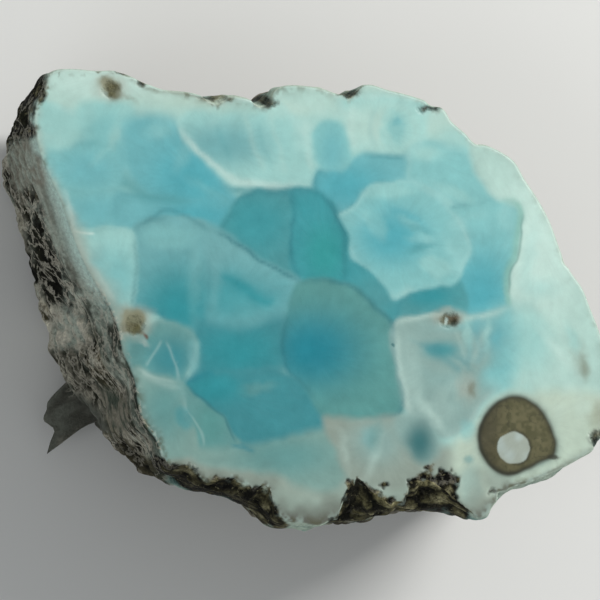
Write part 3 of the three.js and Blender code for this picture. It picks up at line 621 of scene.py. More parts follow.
# Thin lines on the face: colour, width, strength and course, all as seen
LINES = [
    ("vein", 0.5, 0.6, [
        (-10.4, 8.2), (-7.8, 6.9), (-6, 5.9), (-4.6, 4.7), (-2.4, 3.5), (0, 2.1)]),
    ("vein", 0.6, 0.5, [
        (0, 2.1), (2.4, 2.4), (5.4, 2), (6, 1.6), (7.8, 0.4), (9.8, -1.7), (11, -3.1),
        (11.3, -5.4), (11.9, -9.6), (12.3, -12.4), (11.4, -13.9), (7.8, -14.4)]),
    ("vein", 0.5, 0.3, [(-1.2, -1.8), (-1.9, -5.2), (-1.6, -8.2), (0, -10.1), (2.2, -12.4)]),
    ("reef", 1.0, 0.6, [(-9.4, 13.6), (-6, 13.2), (-3, 13.2), (0, 13), (2.2, 13.7)]),
    ("vein", 0.5, 0.35, [(-19.9, 7.9), (-19.7, 4.6), (-19.9, 1.2), (-20, -1.2)]),
    ("vein", 0.6, 0.35, [(5.5, 2.2), (5.4, 4.6), (4.9, 8.2), (4.3, 10.3), (3, 12)]),
    ("vein", 0.7, 0.25, [(-0.8, 13), (-1, 7.2), (-0.4, 2.4)]),
    ("haze", 1.4, 0.4, [(-10.4, 7.2), (-10.3, 3.2), (-10.2, -1.8)]),
    ("fern", 0.9, 0.8, [
        (24, 12.2), (26.5, 11), (26.2, 7.8), (25.9, 5.4), (25.1, 3), (25.2, 0),
        (25.6, -1.1)]),
    ("moss", 0.35, 0.5, [(26.9, 10.8), (26.7, 7.6), (26.3, 5.2), (25.5, 3), (25.6, 0)]),
    ("lagoon", 1.0, 0.7, [(-10, 3.3), (-7.8, 2.1), (-4.6, 0.1), (-2.8, -0.6)]),
    ("foam", 0.34, 0.2, [(-16.3, -4.6), (-15.2, -7.4), (-14.3, -9.9)]),
    ("foam", 0.34, 0.2, [(-18.2, -8.4), (-17.4, -6.4), (-16.7, -4.6)]),
    ("foam", 0.34, 0.16, [(-19.6, -8.2), (-17, -9.3), (-14.4, -9.9)]),
    ("foam", 0.3, 0.2, [(-13.6, -12), (-12.4, -14.6), (-11.2, -17.6)]),
    ("foam", 0.8, 0.2, [(-19, -8.6), (-16.6, -9.8), (-14, -10.6)]),
    ("foam", 0.6, 0.1, [(-14.3, -9.9), (-13.6, -12.2), (-13.4, -14.4)]),
    ("milk", 0.8, 0.3, [(-6.8, 22.8), (-5.6, 18.6), (-4.2, 15)]),
    ("milk", 0.7, 0.25, [(-3.4, 22.6), (-2.6, 18.6), (-1.8, 15)]),
    ("sea", 0.7, 0.2, [(-10.2, 21.4), (-9.2, 18.8), (-8.4, 16.6)]),
    ("sea", 0.6, 0.15, [(-5, 21.6), (-4.4, 18.6), (-3.4, 16)]),
    ("snow", 0.9, 0.3, [(0.6, 22), (1.1, 18.6), (1.3, 15.4)]),
    ("snow", 0.9, 0.3, [(6.2, 23.6), (6, 20.4), (6.6, 17.8)]),
    ("haze", 0.6, 0.18, [(9, 24), (8.4, 21), (8.8, 18.2)]),
    ("reef", 1.1, 0.4, [(19.6, -8.6), (17.2, -7), (15, -5.8)]),
    ("azure", 0.9, 0.25, [(20.4, -7.6), (20.8, -5), (21.2, -3)]),
    ("azure", 1.1, 0.22, [(21, -7.8), (22.8, -5.6), (24.6, -3.4)]),
    ("sky", 1.1, 0.25, [(21.6, -8.8), (24, -8.6), (25.4, -8.2)]),
    ("snow", 0.8, 0.2, [(20.2, -7.6), (19.2, -5), (18.8, -3.4)]),
    ("snow", 0.7, 0.16, [(20.9, -7.4), (22, -5), (23, -3)]),
    ("snow", 1.4, 0.15, [(19.6, -9.8), (17.4, -11), (15.6, -13.4)]),
    ("umber", 0.5, 0.5, [
        (-20.4, 26.4), (-18.4, 25.4), (-16.2, 24.8), (-13.4, 24.5), (-10.4, 24), (-7.4, 24)]),
    ("ivory", 1.3, 0.5, [(-31, 25.2), (-31.7, 22.2), (-31.5, 19.4), (-30.8, 16.8)]),
    ("ivory", 0.9, 0.35, [(-29.8, 14.6), (-28.6, 11.6), (-27.4, 8)]),
    ("frost", 0.9, 0.4, [(-12.4, -4.4), (-12.5, -7.4), (-13.6, -9.6)]),
    ("vein", 0.35, 0.5, [(-13.4, -10.3), (-11.4, -12), (-9.4, -13.7), (-8, -15.8), (-7.6, -17)]),
    ("deep", 0.5, 0.5, [(-8.4, -17.2), (-6.6, -17.5), (-5.3, -18)]),
    ("deep", 0.7, 0.5, [(-13.4, -10.1), (-12, -9.1), (-10.2, -8.6)]),
    ("foam", 0.3, 0.7, [(-27.2, 8.1), (-25.6, 7.9), (-24.4, 7.8)]),
    ("foam", 0.8, 0.45, [
        (-14.4, 20.6), (-12.4, 18.3), (-10.8, 16.5), (-9, 15), (-6.5, 14.1), (-3, 13.9),
        (0.6, 14)]),
    # Pale line along the left rim: partly the stone's own pale colour, partly a painted highlight
    # where the polished edge catches the light
    ("foam", 0.7, 0.5, [
        (-28.4, 13.6), (-27.2, 10.6), (-26.9, 8.6), (-25.2, 4.6), (-23.5, 1.8), (-22, -1)]),
    ("sea", 1.4, 0.6, [(-21.6, 14.6), (-20.4, 13.7), (-18.6, 12.6), (-16.2, 12), (-13, 11.9)]),
    ("vein", 0.5, 0.3, [
        (-19.9, 8.5), (-18, 9.5), (-15.8, 10.8), (-13.4, 9.6), (-11.8, 8.8), (-10.4, 8.2)]),
    ("snow", 0.7, 0.4, [(11.4, -3.4), (11.8, -7), (12.5, -11), (13.3, -13.6)]),
    ("snow", 0.7, 0.35, [(11.5, -3), (14.4, -2.3), (17, -1.8), (21, -2), (25.4, -1.1)]),
]

# Ring inclusion: its outline and its pale eye, as seen
RING = [
    (21.6, -16.2), (21.8, -17.8), (22.5, -19.3), (23.5, -20.4), (24.8, -21), (26.2, -20.8),
    (27.8, -20.1), (29.3, -19.4), (30.6, -18.8), (30.9, -17.6), (30.6, -16.2), (29.8, -14.4),
    (28.8, -13), (27.6, -12.1), (26.3, -11.7), (24.9, -11.9), (23.5, -12.7), (22.3, -14.2),
]
RING_LINE = 0.34
RING_MIDDLE, RING_DARKENS = (26, -16), (25.6, 22.6)
RING_TAIL = (30.6, -19), (0.75, 0.3), -5
EYE_PLACE, EYE_RADIUS = (25.7, -17.9), 1.95


def linear(name):
    srgb = np.array(PALETTE[name]) / 255
    return np.where(srgb <= 0.04045, srgb / 12.92, ((srgb + 0.055) / 1.055) ** 2.4)


def polished(name):
    """Base colour that looks like the named one once the polish has added its sheen."""
    return np.maximum(linear(name) - SHEEN, 0.002)


def mixed(a, b, share):
    share = np.asarray(share)[..., None]
    return a * (1 - share) + b * share


def glazed(colour, name, share):
    """A colour of the polished face with a share of a named one."""
    return mixed(colour, polished(name), share)


def stained(colour, name, share):
    """A colour of the rock with a share of a named one."""
    return mixed(colour, linear(name), share)


def pattern(name, points):
    """A named noise at points of the stone, or at places as seen."""
    place = points if points.shape[1] == 3 else flat(points)
    return sum(strength * swell(place, size, seed) for size, seed, strength in PATTERNS[name])


def within(degrees, rise, fall):
    """Share from 0 to 1 of the directions between a rise and a fall."""
    return smooth(*rise, degrees) * smooth(*fall, degrees)


def rounded(corners, closed=True, steps=5):
    """Points of a smooth line through the corners."""
    p = np.array(corners, float)
    if closed:
        p = np.concatenate([p[-1:], p, p[:2]])
    else:
        p = np.concatenate([2 * p[:1] - p[1:2], p, 2 * p[-1:] - p[-2:-1]])
    before, start, end, after = p[:-3], p[1:-2], p[2:-1], p[3:]
    t = (np.arange(steps) / steps)[None, :, None]
    before, start, end, after = (q[:, None] for q in (before, start, end, after))
    curve = 0.5 * (
        2 * start + (end - before) * t + (2 * before - 5 * start + 4 * end - after) * t**2
        + (3 * start - before - 3 * end + after) * t**3
    )
    curve = curve.reshape(-1, 2)
    return curve if closed else np.concatenate([curve, p[-2:-1]])


def line_distance(spots, line):
    """Distance from each spot to a line of points, and the part of its length there."""
    nearest = np.full(len(spots), 1e9)
    place = np.zeros(len(spots))
    for i, (a, b) in enumerate(zip(line[:-1], line[1:])):
        along = b - a
        t = np.clip(((spots - a) @ along) / (along @ along), 0, 1)
        gap = np.linalg.norm(spots - a - t[:, None] * along, axis=1)
        closer = gap < nearest
        nearest = np.where(closer, gap, nearest)
        place = np.where(closer, (i + t) / (len(line) - 1), place)
    return nearest, place


def inside_by(spots, corners):
    """How far each spot lies inside a smooth closed outline, below 0 outside it."""
    loop = rounded(corners)
    loop = np.concatenate([loop, loop[:1]])
    gap, _ = line_distance(spots, loop)
    crossings = np.zeros(len(spots), int)
    for (ax, ay), (bx, by) in zip(loop[:-1], loop[1:]):
        spans = (ay > spots[:, 1]) != (by > spots[:, 1])
        at = ax + (spots[:, 1] - ay) * (bx - ax) / np.where(by == ay, 1, by - ay)
        crossings += spans & (spots[:, 0] < at)
    return np.where(crossings % 2, gap, -gap)


def wavered(spots, layers, seed):
    """Spots moved about a little, so that drawn edges run as in grown stone. Each layer
    has the size and the strength of its waves."""
    place = flat(spots)
    moved = spots.copy()
    for size, amount in layers:
        for axis in (0, 1):
            moved[:, axis] += amount * swell(place, size, seed + axis)
        seed += 2
    return moved


# Spots: colour, strength, softness, place, half sizes and turn in degrees, all as seen
SPOTS = [
    ("rose", 0.5, 1.6, (-22.6, 25.4), (1.9, 1.6), 0),
    ("sand", 0.8, 0.8, (-22.9, 25.7), (1.1, 0.9), -20),
    ("umber", 0.85, 0.7, (-22.2, 25), (0.9, 1.1), 20),
    ("olive", 0.8, 0.4, (-22.6, 24.5), (0.5, 0.35), 0),
    ("umber", 0.5, 0.5, (-20.4, 24.2), (0.8, 0.15), -35),
    ("rose", 0.6, 1.6, (-19.8, -2.6), (2.4, 2), 0),
    ("sand", 0.85, 0.7, (-19.9, -2.4), (1.5, 1.5), 10),
    ("umber", 0.7, 0.6, (-20.4, -3.3), (1.3, 0.7), 0),
    ("olive", 0.7, 0.4, (-19.4, -3.5), (0.7, 0.5), -10),
    ("rust", 0.8, 0.3, (-18.5, -4.3), (0.5, 0.25), -45),
    ("pearl", 0.6, 0.5, (-18.6, -5), (0.7, 0.3), -30),
    ("rose", 0.6, 1.0, (18, -2), (2, 1.1), 0),
    ("umber", 0.8, 0.5, (17.9, -2.4), (1.2, 0.55), 0),
    ("rust", 0.4, 0.5, (18.4, -2.3), (0.6, 0.4), 0),
    ("ink", 0.7, 0.3, (18.5, -2.8), (0.35, 0.3), 0),
    ("foam", 0.9, 0.15, (17.7, -2.6), (0.15, 0.4), 0),
    ("pool", 0.9, 0.15, (11.2, -5.6), (0.2, 0.25), 0),
    ("rose", 0.5, 1.8, (20.2, -10.6), (1.2, 1.6), 0),
    ("umber", 0.5, 0.6, (20.8, -10.8), (0.5, 0.8), 0),
    ("shell", 0.7, 1.2, (33.8, -7.2), (1, 2.4), 15),
    ("olive", 0.45, 0.8, (34.3, -8.2), (0.5, 1.3), 10),
    ("ivory", 0.45, 2.0, (-10.6, 23.6), (7, 0.8), -4),
    ("haze", 0.4, 1.0, (8.2, -16.4), (0.9, 1.2), 0),
    ("snow", 0.3, 1.0, (8.8, -19), (0.5, 2.2), -20),
    ("snow", 0.3, 1.0, (5.4, -18.2), (0.4, 1.8), 10),
    ("frost", 0.8, 0.8, (11.6, 20.6), (2, 2.6), 0),
    ("aqua", 0.7, 0.9, (11.6, 20.8), (1.1, 1.7), 0),
    ("sky", 0.6, 0.5, (11.7, 21.6), (0.5, 0.5), 0),
    ("azure", 0.6, 0.9, (12.6, 10.2), (2.2, 0.6), -30),
    ("frost", 0.35, 0.9, (13.4, 9.2), (1.6, 0.5), -35),
    ("sea", 0.5, 0.6, (14.2, 8.6), (1.6, 0.4), -20),
    ("sea", 0.6, 0.5, (14.6, 6.3), (1.5, 0.35), 15),
    ("frost", 0.3, 0.9, (14.5, 7.4), (1.4, 0.6), 0),
    ("aqua", 0.6, 1.0, (9, 9.4), (1, 2.2), 30),
    ("frost", 0.5, 0.8, (16.4, 4), (2, 1.2), -20),
    ("frost", 0.5, 0.9, (11, 13.2), (2.8, 0.8), 5),
    ("frost", 0.5, 0.9, (18.6, 13), (2.4, 0.6), -25),
    ("frost", 0.15, 1.2, (-12.6, 2.2), (0.6, 4), 0),
    ("aqua", 0.15, 1.8, (-7, -0.6), (2.6, 1.1), -30),
    ("haze", 0.4, 1.4, (-5, 3), (3, 1.2), -32),
    ("aqua", 0.6, 1.2, (-15.8, 7.6), (3, 1.4), 0),
    ("lagoon", 0.5, 1.0, (-9.5, -10), (2.2, 1), -20),
    ("mist", 0.5, 1.0, (-5, -10.6), (1.8, 0.7), 10),
    ("lagoon", 0.5, 0.8, (-13.8, -14.2), (1, 1.4), 20),
    ("haze", 0.5, 0.7, (-12.9, -6.4), (0.5, 2.3), 0),
    ("reef", 0.45, 0.8, (15.6, -5.6), (1.6, 0.4), -18),
    ("reef", 0.45, 0.8, (19.6, -7.4), (1.4, 0.4), -40),
    ("frost", 0.6, 0.7, (20.2, -4), (0.5, 1.8), 12),
    ("azure", 0.3, 0.7, (21.4, -4), (0.4, 1.8), 5),
    ("frost", 0.5, 0.6, (22.6, -4), (0.35, 2), -5),
    ("azure", 0.2, 0.8, (23.8, -4.4), (0.5, 1.8), -10),
    ("snow", 0.2, 2.0, (13.2, -8.6), (1.4, 4.4), 5),
    ("snow", 0.15, 1.8, (17, -13.6), (1.4, 1.4), 0),
    ("aqua", 0.5, 1.0, (20.2, -15.6), (0.9, 1.2), 0),
    ("reef", 0.5, 0.6, (20.4, -19.2), (0.6, 0.5), 0),
    ("snow", 0.5, 1.2, (15.6, -13.6), (2.2, 0.5), -50),
    ("mist", 0.5, 1.0, (9, -16.4), (0.7, 1.6), -10),
    ("haar", 0.6, 1.2, (20.6, -22.4), (1.4, 2.6), 0),
    ("dust", 0.5, 0.8, (29, -18.8), (2, 1), 20),
    ("frost", 0.5, 2.0, (29, 1.4), (1.8, 1), 0),
    ("frost", 0.5, 2.0, (27.6, 4.8), (0.6, 2.6), -10),
    ("snow", 0.5, 1.2, (31, -6), (2.4, 0.5), -50),
    ("frost", 0.6, 1.0, (33, -4.8), (0.6, 1.6), 20),
    ("haze", 0.4, 1.5, (-24.6, 4.2), (0.8, 2.4), -25),
    ("pool", 0.35, 1.6, (-19.8, -6.2), (0.9, 1.8), 0),
    ("sand", 0.4, 1.4, (36, -14), (0.9, 1.8), 0),
    ("frost", 0.35, 1.2, (-25.6, 21.4), (1.8, 0.6), 30),
    ("milk", 0.3, 1.0, (-22.2, 19.6), (0.6, 1.4), -20),
    ("frost", 0.3, 0.9, (-23.8, 17.2), (1.3, 0.4), 40),
    ("sea", 0.25, 1.0, (-24.8, 18.8), (0.9, 0.4), 20),
    ("frost", 0.3, 1.4, (-16.8, 20.4), (1.5, 0.9), 20),
    ("frost", 0.22, 1.2, (-14, 17.2), (0.8, 1.7), -30),
    ("aqua", 0.3, 1.2, (-11.4, 13.4), (2, 0.5), -30),
    # Darker cream by the bottom rim: partly the stone's own colour, partly painted shade where the
    # lower edge curves away from the light
    ("cream", 0.75, 1.6, (23.8, -21.9), (2.4, 1.3), -25),
    ("cream", 0.65, 1.6, (21.6, -24.4), (1.5, 2.2), 0),
]

# Dark rock that the pale stone grew round, where it meets the face: outlines as seen, then
# notches by place, half sizes and turn in degrees
DARK_ROCK = [
    [(12.9, -22.2), (13.6, -21.6), (14.7, -21.4), (15.4, -20.8), (16.4, -20.6),
     (17.6, -20.7), (18.6, -21.2), (19.2, -21.8), (19.3, -23), (19.9, -25.2),
     (18.6, -25.6), (16.8, -24.8), (15, -25.2), (12.6, -25.6), (12, -24.4), (13.4, -23.8)],
    [(4.1, -26.3), (5, -25.2), (5.5, -23.9), (5.9, -22.7), (6.8, -21.8), (8, -22.2),
     (9.1, -22.6), (10, -23.3), (10.8, -23.9), (11.8, -24.6), (12.4, -25.4),
     (10.8, -26.3), (7.2, -26.8), (4.8, -27)],
    [(-16.6, -19.4), (-15.4, -19.7), (-14, -20.2), (-12.6, -20.9), (-11.4, -21.9),
     (-10.2, -21.1), (-8.6, -21.6), (-7.2, -22.6), (-5.4, -22.3), (-4.6, -23),
     (-3.4, -23.3), (-2.6, -24.6), (-2.9, -26.4), (-7.2, -25.6), (-12, -24), (-16.4, -21.4)],
    [(9.8, -22), (10.4, -21.8), (10.7, -22.3), (10.2, -22.6)],
    [(15.1, -20.2), (15.6, -19.9), (16, -20.2), (15.6, -20.6)],
    [(5.3, -21.9), (5.8, -21.5), (6.2, -21.9), (5.9, -22.4), (5.5, -22.4)],
]
DARK_NOTCHES = [
    ((-31.2, 24.7), (0.55, 1), 15), ((-31.7, 22.6), (0.35, 0.9), 0),
    ((-31.6, 20), (0.3, 0.7), -8), ((-21.2, 27), (0.9, 0.35), -15),
    ((-19.2, 26.4), (0.7, 0.35), -30), ((-10.3, 24.1), (1.6, 0.35), 0),
    ((-4.4, 24), (1.4, 0.5), -12), ((5.8, 25), (1.3, 0.4), 15),
    ((15.8, 23.3), (1.1, 0.35), -15), ((23.4, -23.1), (0.5, 0.35), 30),
    ((35.7, -16.7), (0.55, 0.85), -10),
]

# Zones of the weathered flank: colours in the hollows and on the lumps, strength,
# softness, how strongly veined, and outline, as seen
FLANK_ZONES = [
    ("soot", "char", 1.0, 0.5, 0.7, [
        (-36, 25), (-33.6, 26.6), (-30.6, 27), (-30.4, 24.8), (-31.8, 23.6), (-32.1, 21.6),
        (-31.9, 19.8), (-33.2, 18.8), (-36, 18.4)]),
    ("stone", "ash", 0.9, 0.6, 0.2, [
        (-35.6, 18.4), (-33.6, 18.6), (-31.9, 19.2), (-30.6, 16.6), (-29.8, 14), (-31.6, 13.4),
        (-34.4, 13.8)]),
    ("char", "ash", 0.85, 1.0, 1.0, [
        (-32.6, 11), (-30.4, 10.6), (-29.2, 6.4), (-27, 2.2), (-25.4, -1.4), (-27.4, -1.4),
        (-30.2, -0.6), (-32, 3)]),
    ("soot", "char", 1.0, 0.7, 0.9, [
        (-32.4, 9.4), (-30.6, 9), (-29.5, 5.6), (-28.5, 2.4), (-28.4, -0.5), (-29.8, -1),
        (-31.4, 1), (-32.4, 5)]),
    ("ash", "chalk", 0.9, 1.0, 0.4, [
        (-29.8, -1.8), (-27.4, -1), (-25.6, -2), (-25.2, -4.6), (-27, -6.2), (-29.6, -5.6)]),
    ("char", "stone", 0.95, 0.8, 0.6, [
        (-29, -6.6), (-26.6, -6.8), (-24.8, -9), (-23.4, -12), (-24.6, -13.4),
        (-27.2, -10.8)]),
    ("slate", "stone", 0.9, 0.8, 0, [
        (-24, -10.8), (-21.8, -10.6), (-20.4, -12.4), (-20.6, -15.6), (-22, -16.2),
        (-23.6, -13.8)]),
    ("soot", "earth", 0.95, 0.8, 0.4, [
        (-20.2, -16.8), (-18, -18.8), (-15.8, -20.6), (-16.4, -22.6), (-19.2, -21.4),
        (-21.8, -18.8), (-22.4, -17)]),
    ("lead", "flint", 1.0, 0.5, 0, [
        (-28.8, -9.8), (-31, -11.8), (-31.4, -15.2), (-31, -18.6), (-27.6, -16.6),
        (-24.4, -16), (-22.4, -16.8), (-23.6, -14.2), (-25.8, -12.2), (-27.4, -10.8)]),
]

# Directions in degrees between which the outside changes: where it is weathered, where the
# zones begin, where the shoulder turns to slate, where the painted highlight beside the face
# gives way to a painted shadow line, and the black corner
WEATHERED = (138, 150), (236, 224)
ZONES_FROM = (120, 130)
LOW_DOWN, HIGHLIGHT_TO_SHADOW = (172, 186), (178, 190)
CORNER = (120, 130), (170, 160)

# Directions between which the dark chips lie in the shade or in the light
SHADED, BRIGHT = ((205, 213), (262, 254)), ((268, 275), (330, 322))

# Left and right parts of the rim, which have tones of their own; the right one is paler, a painted
# highlight
RIM_LEFT, RIM_RIGHT = ((100, 130), (205, 188)), ((330, 345), (110, 90))

# Waves of drawn edges: size and strength of each layer
PATCH_WAVES = ((2.6, 0.3), (1.0, 0.12))
SPOT_WAVES = ((1.1, 0.25), (0.45, 0.12))
DARK_WAVES = ((1.6, 0.4), (0.7, 0.3), (0.36, 0.14))
ZONE_WAVES = ((2, 0.5), (0.8, 0.3))
RING_WAVES = ((0.9, 0.06),)

# Depth that the fresh pale stone reaches down the flank, and over what it fades. Depth over
# which the face's colour gives way to the flank's. Depths that the paint counts for the
# full undercut and for the foot.
FRESH_REACH, FRESH_FADE = 6.5, 1.5
EDGE_BLEND = 0.12
UNDERCUT_AS_DEPTH, FOOT_AS_DEPTH = 4, 29

# Noises of the colours: size in mm, seed and strength of each layer
PATTERNS = {
    "seams": [(3.4, 159, 1), (1.2, 160, 0.4)],
    "cloud": [(2.4, 151, 0.6), (1.0, 153, 0.4)],
    "veil": [(3.2, 155, 1), (1.3, 157, 0.5)],
    "eye edge": [(1.3, 143, 0.14), (0.6, 145, 0.07)],
    "eye cloud": [(1.1, 150, 1)],
    "ring mottle": [(0.6, 147, 1), (0.32, 148, 0.8)],
    "ring shade": [(1.8, 149, 0.6)],
    "ring scribble": [(1.1, 151, 1), (0.5, 152, 0.4)],
    "dark gaps": [(0.6, 135, 1)],
    "dark foot": [(2.6, 167, 2.5)],
    "dark grains": [(0.9, 165, 0.7)],
    "rim reach": [(3.6, 193, 0.4), (1.1, 195, 0.3)],
    "rim specks": [(0.8, 197, 1), (0.36, 199, 0.7)],
    "rock": [(0.7, 163, 0.5)],
    "broad": [(6.5, 171, 1), (2.2, 172, 0.4)],
    "rust": [(3.6, 175, 1), (1.2, 176, 0.3)],
    "dark": [(7.5, 177, 1), (2.8, 178, 0.45)],
    "fresh reach": [(7.5, 179, 3.5), (2.5, 180, 1.5)],
    "shoulder": [(1.5, 183, 1), (0.6, 185, 0.7)],
}


def oval(spots, place, half_sizes, turn):
    """Distance from an oval's edge, below 0 inside it."""
    off = spots - place
    c, s = math.cos(math.radians(turn)), math.sin(math.radians(turn))
    u = (off[:, 0] * c + off[:, 1] * s) / half_sizes[0]
    v = (off[:, 1] * c - off[:, 0] * s) / half_sizes[1]
    return (np.hypot(u, v) - 1) * min(half_sizes)


def dark_share(seen, grown=0.0):
    """Share of dark rock at places as seen, with its outlines grown by some mm."""
    ragged = wavered(seen, DARK_WAVES, 131)
    gaps = smooth(0.3, 0.5, pattern("dark gaps", seen))
    share = np.zeros(len(seen))
    for corners in DARK_ROCK:
        inside = inside_by(ragged, corners) + grown
        pale = gaps * smooth(0.9, 0.2, inside)
        share = np.maximum(share, smooth(-0.25, 0.15, inside) * (1 - 0.4 * pale))
    for notch in DARK_NOTCHES:
        share = np.maximum(share, 0.85 * smooth(0.2, -0.2, oval(ragged, *notch)))
    return share


def paint_ring(colour, seen):
    """The ring inclusion: dark outline, olive filling and pale eye."""
    edge = inside_by(wavered(seen, RING_WAVES, 141), RING)
    colour = glazed(colour, "shell", 0.5 * smooth(-1.4, -0.2, edge))
    mottle = smooth(-0.7, 0.7, pattern("ring mottle", seen))
    filling = mixed(linear("ring"), linear("olive"), mottle)
    shade = smooth(2.2, 0.2, edge + pattern("ring shade", seen))
    filling = stained(filling, "ring", 0.5 * shade)
    filling = stained(filling, "earth", 0.6 * smooth(*RING_DARKENS, seen[:, 0]))
    scribble = np.abs(pattern("ring scribble", seen))
    filling = stained(filling, "ink", 0.4 * smooth(0.09, 0.02, scribble))
    colour = mixed(colour, filling, smooth(-0.1, 0.1, edge))
    low_left = smooth(4, -4, (seen - RING_MIDDLE) @ (1, 0.5))
    line = np.exp(-((edge / RING_LINE) ** 2)) * (0.75 + 0.25 * low_left)
    colour = stained(colour, "ink", line)
    colour = stained(colour, "ink", 0.85 * smooth(0.12, -0.12, oval(seen, *RING_TAIL)))
    eye = np.linalg.norm(seen - EYE_PLACE, axis=1) - EYE_RADIUS + pattern("eye edge", seen)
    shadow = np.exp(-(((eye - 0.1) / 0.22) ** 2)) * smooth(-1.6, 1.2, seen[:, 0] - EYE_PLACE[0])
    colour = stained(colour, "ink", 0.6 * shadow)
    cloud = mixed(linear("ash"), linear("pearl"), smooth(-0.5, 0.8, pattern("eye cloud", seen)))
    return mixed(colour, cloud, smooth(0.1, -0.1, eye))


# Tone along the rim of the face, in part painted shade where the edge rounds away from the light:
# angle in degrees, strength, and reach in mm
RIM_TONES = [
    (0, 0.4, 0.6), (60, 0.4, 0.6), (110, 0.3, 0.8), (128, 0.2, 1), (140, 0.4, 0.8),
    (155, 0.55, 1.2), (170, 0.8, 2), (180, 0.75, 2), (190, 0.4, 1.2), (205, 0.25, 1),
    (215, 0.5, 1), (232, 0.6, 1.2), (252, 0.8, 2), (262, 1, 2.6), (276, 1, 2.7),
    (295, 0.7, 1.8), (311, 0.9, 2), (320, 0.8, 1), (332, 0.6, 0.8), (345, 0.4, 0.7),
]
rim_tone_at = around_by(RIM_TONES)

# How crumbly the rim is: angle in degrees and strength
RIM_CRUMBS = [
    (20, 0.2), (70, 0.2), (100, 0.6), (125, 0.8), (140, 1), (150, 0.8), (165, 0.2), (200, 0.1),
    (215, 0.8), (240, 1), (262, 0.8), (290, 0.5), (311, 0.8), (330, 0.5), (350, 0.2),
]
CRUMBLY_REACH = 0.9
rim_crumbs_at = around_by(RIM_CRUMBS)


def paint_rim_shade_and_crumbs(colour, degrees, gap, spots):
    """Greyer tone, partly painted shade, a painted highlight on the right, and crumbs on the face
    next to its rim, at a gap from it.
    """
    strength, reach = np.moveaxis(rim_tone_at(degrees), -1, 0)
    # Painted shade along the rim where the edge rounds away from the light, partly the rim's own
    # greyer colour; on the right a paler painted highlight
    share = strength * np.exp(-((gap / (reach * (1 + pattern("rim reach", spots)))) ** 2))
    tone = mixed(polished("flint"), polished("ash"), within(degrees, *RIM_LEFT))
    right = smooth(*RIM_RIGHT[0], degrees) + smooth(*RIM_RIGHT[1], degrees)
    colour = mixed(colour, glazed(tone, "shell", right), share)
    speck = pattern("rim specks", spots)
    near = rim_crumbs_at(degrees)[..., 0] * np.exp(-((gap / CRUMBLY_REACH) ** 2))
    colour = glazed(colour, "snow", 0.5 * near * smooth(0.1, 0.6, -speck))
    return glazed(colour, "ring", 0.85 * near * smooth(0.25, 0.6, speck))


def paint_face(seen):
    """Colour of the polished face, where its fibres run from, and how clearly they show,
    at places as seen."""
    drawn = wavered(seen, PATCH_WAVES, 101)
    top = smooth(19, 25, seen[:, 1] + 0.1 * np.abs(seen[:, 0]))
    colour = glazed(np.tile(polished("frost"), (len(seen), 1)), "milk", 0.7 * top)
    fibre = np.zeros((len(seen), 3))
    clear = np.zeros(len(seen))
    seam_strength = smooth(-1, 0.5, pattern("seams", seen))
    for number, (edge, heart, centre, size, softness, seam, corners) in enumerate(PATCHES):
        inside = inside_by(drawn, corners) + PATCH_OVERLAP
        off = seen - centre
        toward = np.exp(-(((off / size) ** 2).sum(1) ** HEART_SHAPE))
        tone = mixed(polished(edge), polished(heart), toward)
        colour = mixed(colour, tone, smooth(-softness / 2, softness / 2, inside))
        gap = np.abs(inside - PATCH_OVERLAP) / SEAM_WIDTH
        line = (0.5 * np.exp(-gap) + 0.5 * np.exp(-((2 * gap) ** 2))) * seam_strength
        colour = glazed(colour, "foam" if seam > 0 else "vein", abs(seam) * line)
        grown = np.column_stack([off, np.full(len(seen), number)])
        fibre = np.where(inside[:, None] > 0, grown, fibre)
        clear = np.where(inside > 0, smooth(0, 0.8, inside), clear * smooth(0, -0.4, inside))
    for name, width, strength, corners in LINES:
        gap, part = line_distance(drawn, rounded(corners, closed=False))
        taper = np.clip(8 * part * (1 - part), 0, 1)
        colour = glazed(colour, name, strength * taper * np.exp(-((2 * gap / width) ** 2)))
    ragged = wavered(seen, SPOT_WAVES, 121)
    for name, strength, softness, *shape in SPOTS:
        share = smooth(softness / 2, -softness / 2, oval(ragged, *shape))
        colour = glazed(colour, name, strength * share)
    colour = colour * (1 + 0.07 * pattern("cloud", seen))[:, None]
    pale = smooth(0.42, 0.6, colour[:, 1])
    colour = glazed(colour, "snow", 0.2 * pale * smooth(0.2, 1.1, pattern("veil", seen)))
    return paint_ring(colour, seen), fibre, clear


def rock_tone(crest, points, low, high):
    """Colour of crumbly rock: one tone in its hollows and one on its lumps, partly the rock's own
    colours and partly painted shade in the hollows and painted light on the lumps.
    """
    lit = smooth(-0.6, 0.8, crest + pattern("rock", points))
    return mixed(linear(low), linear(high), lit)


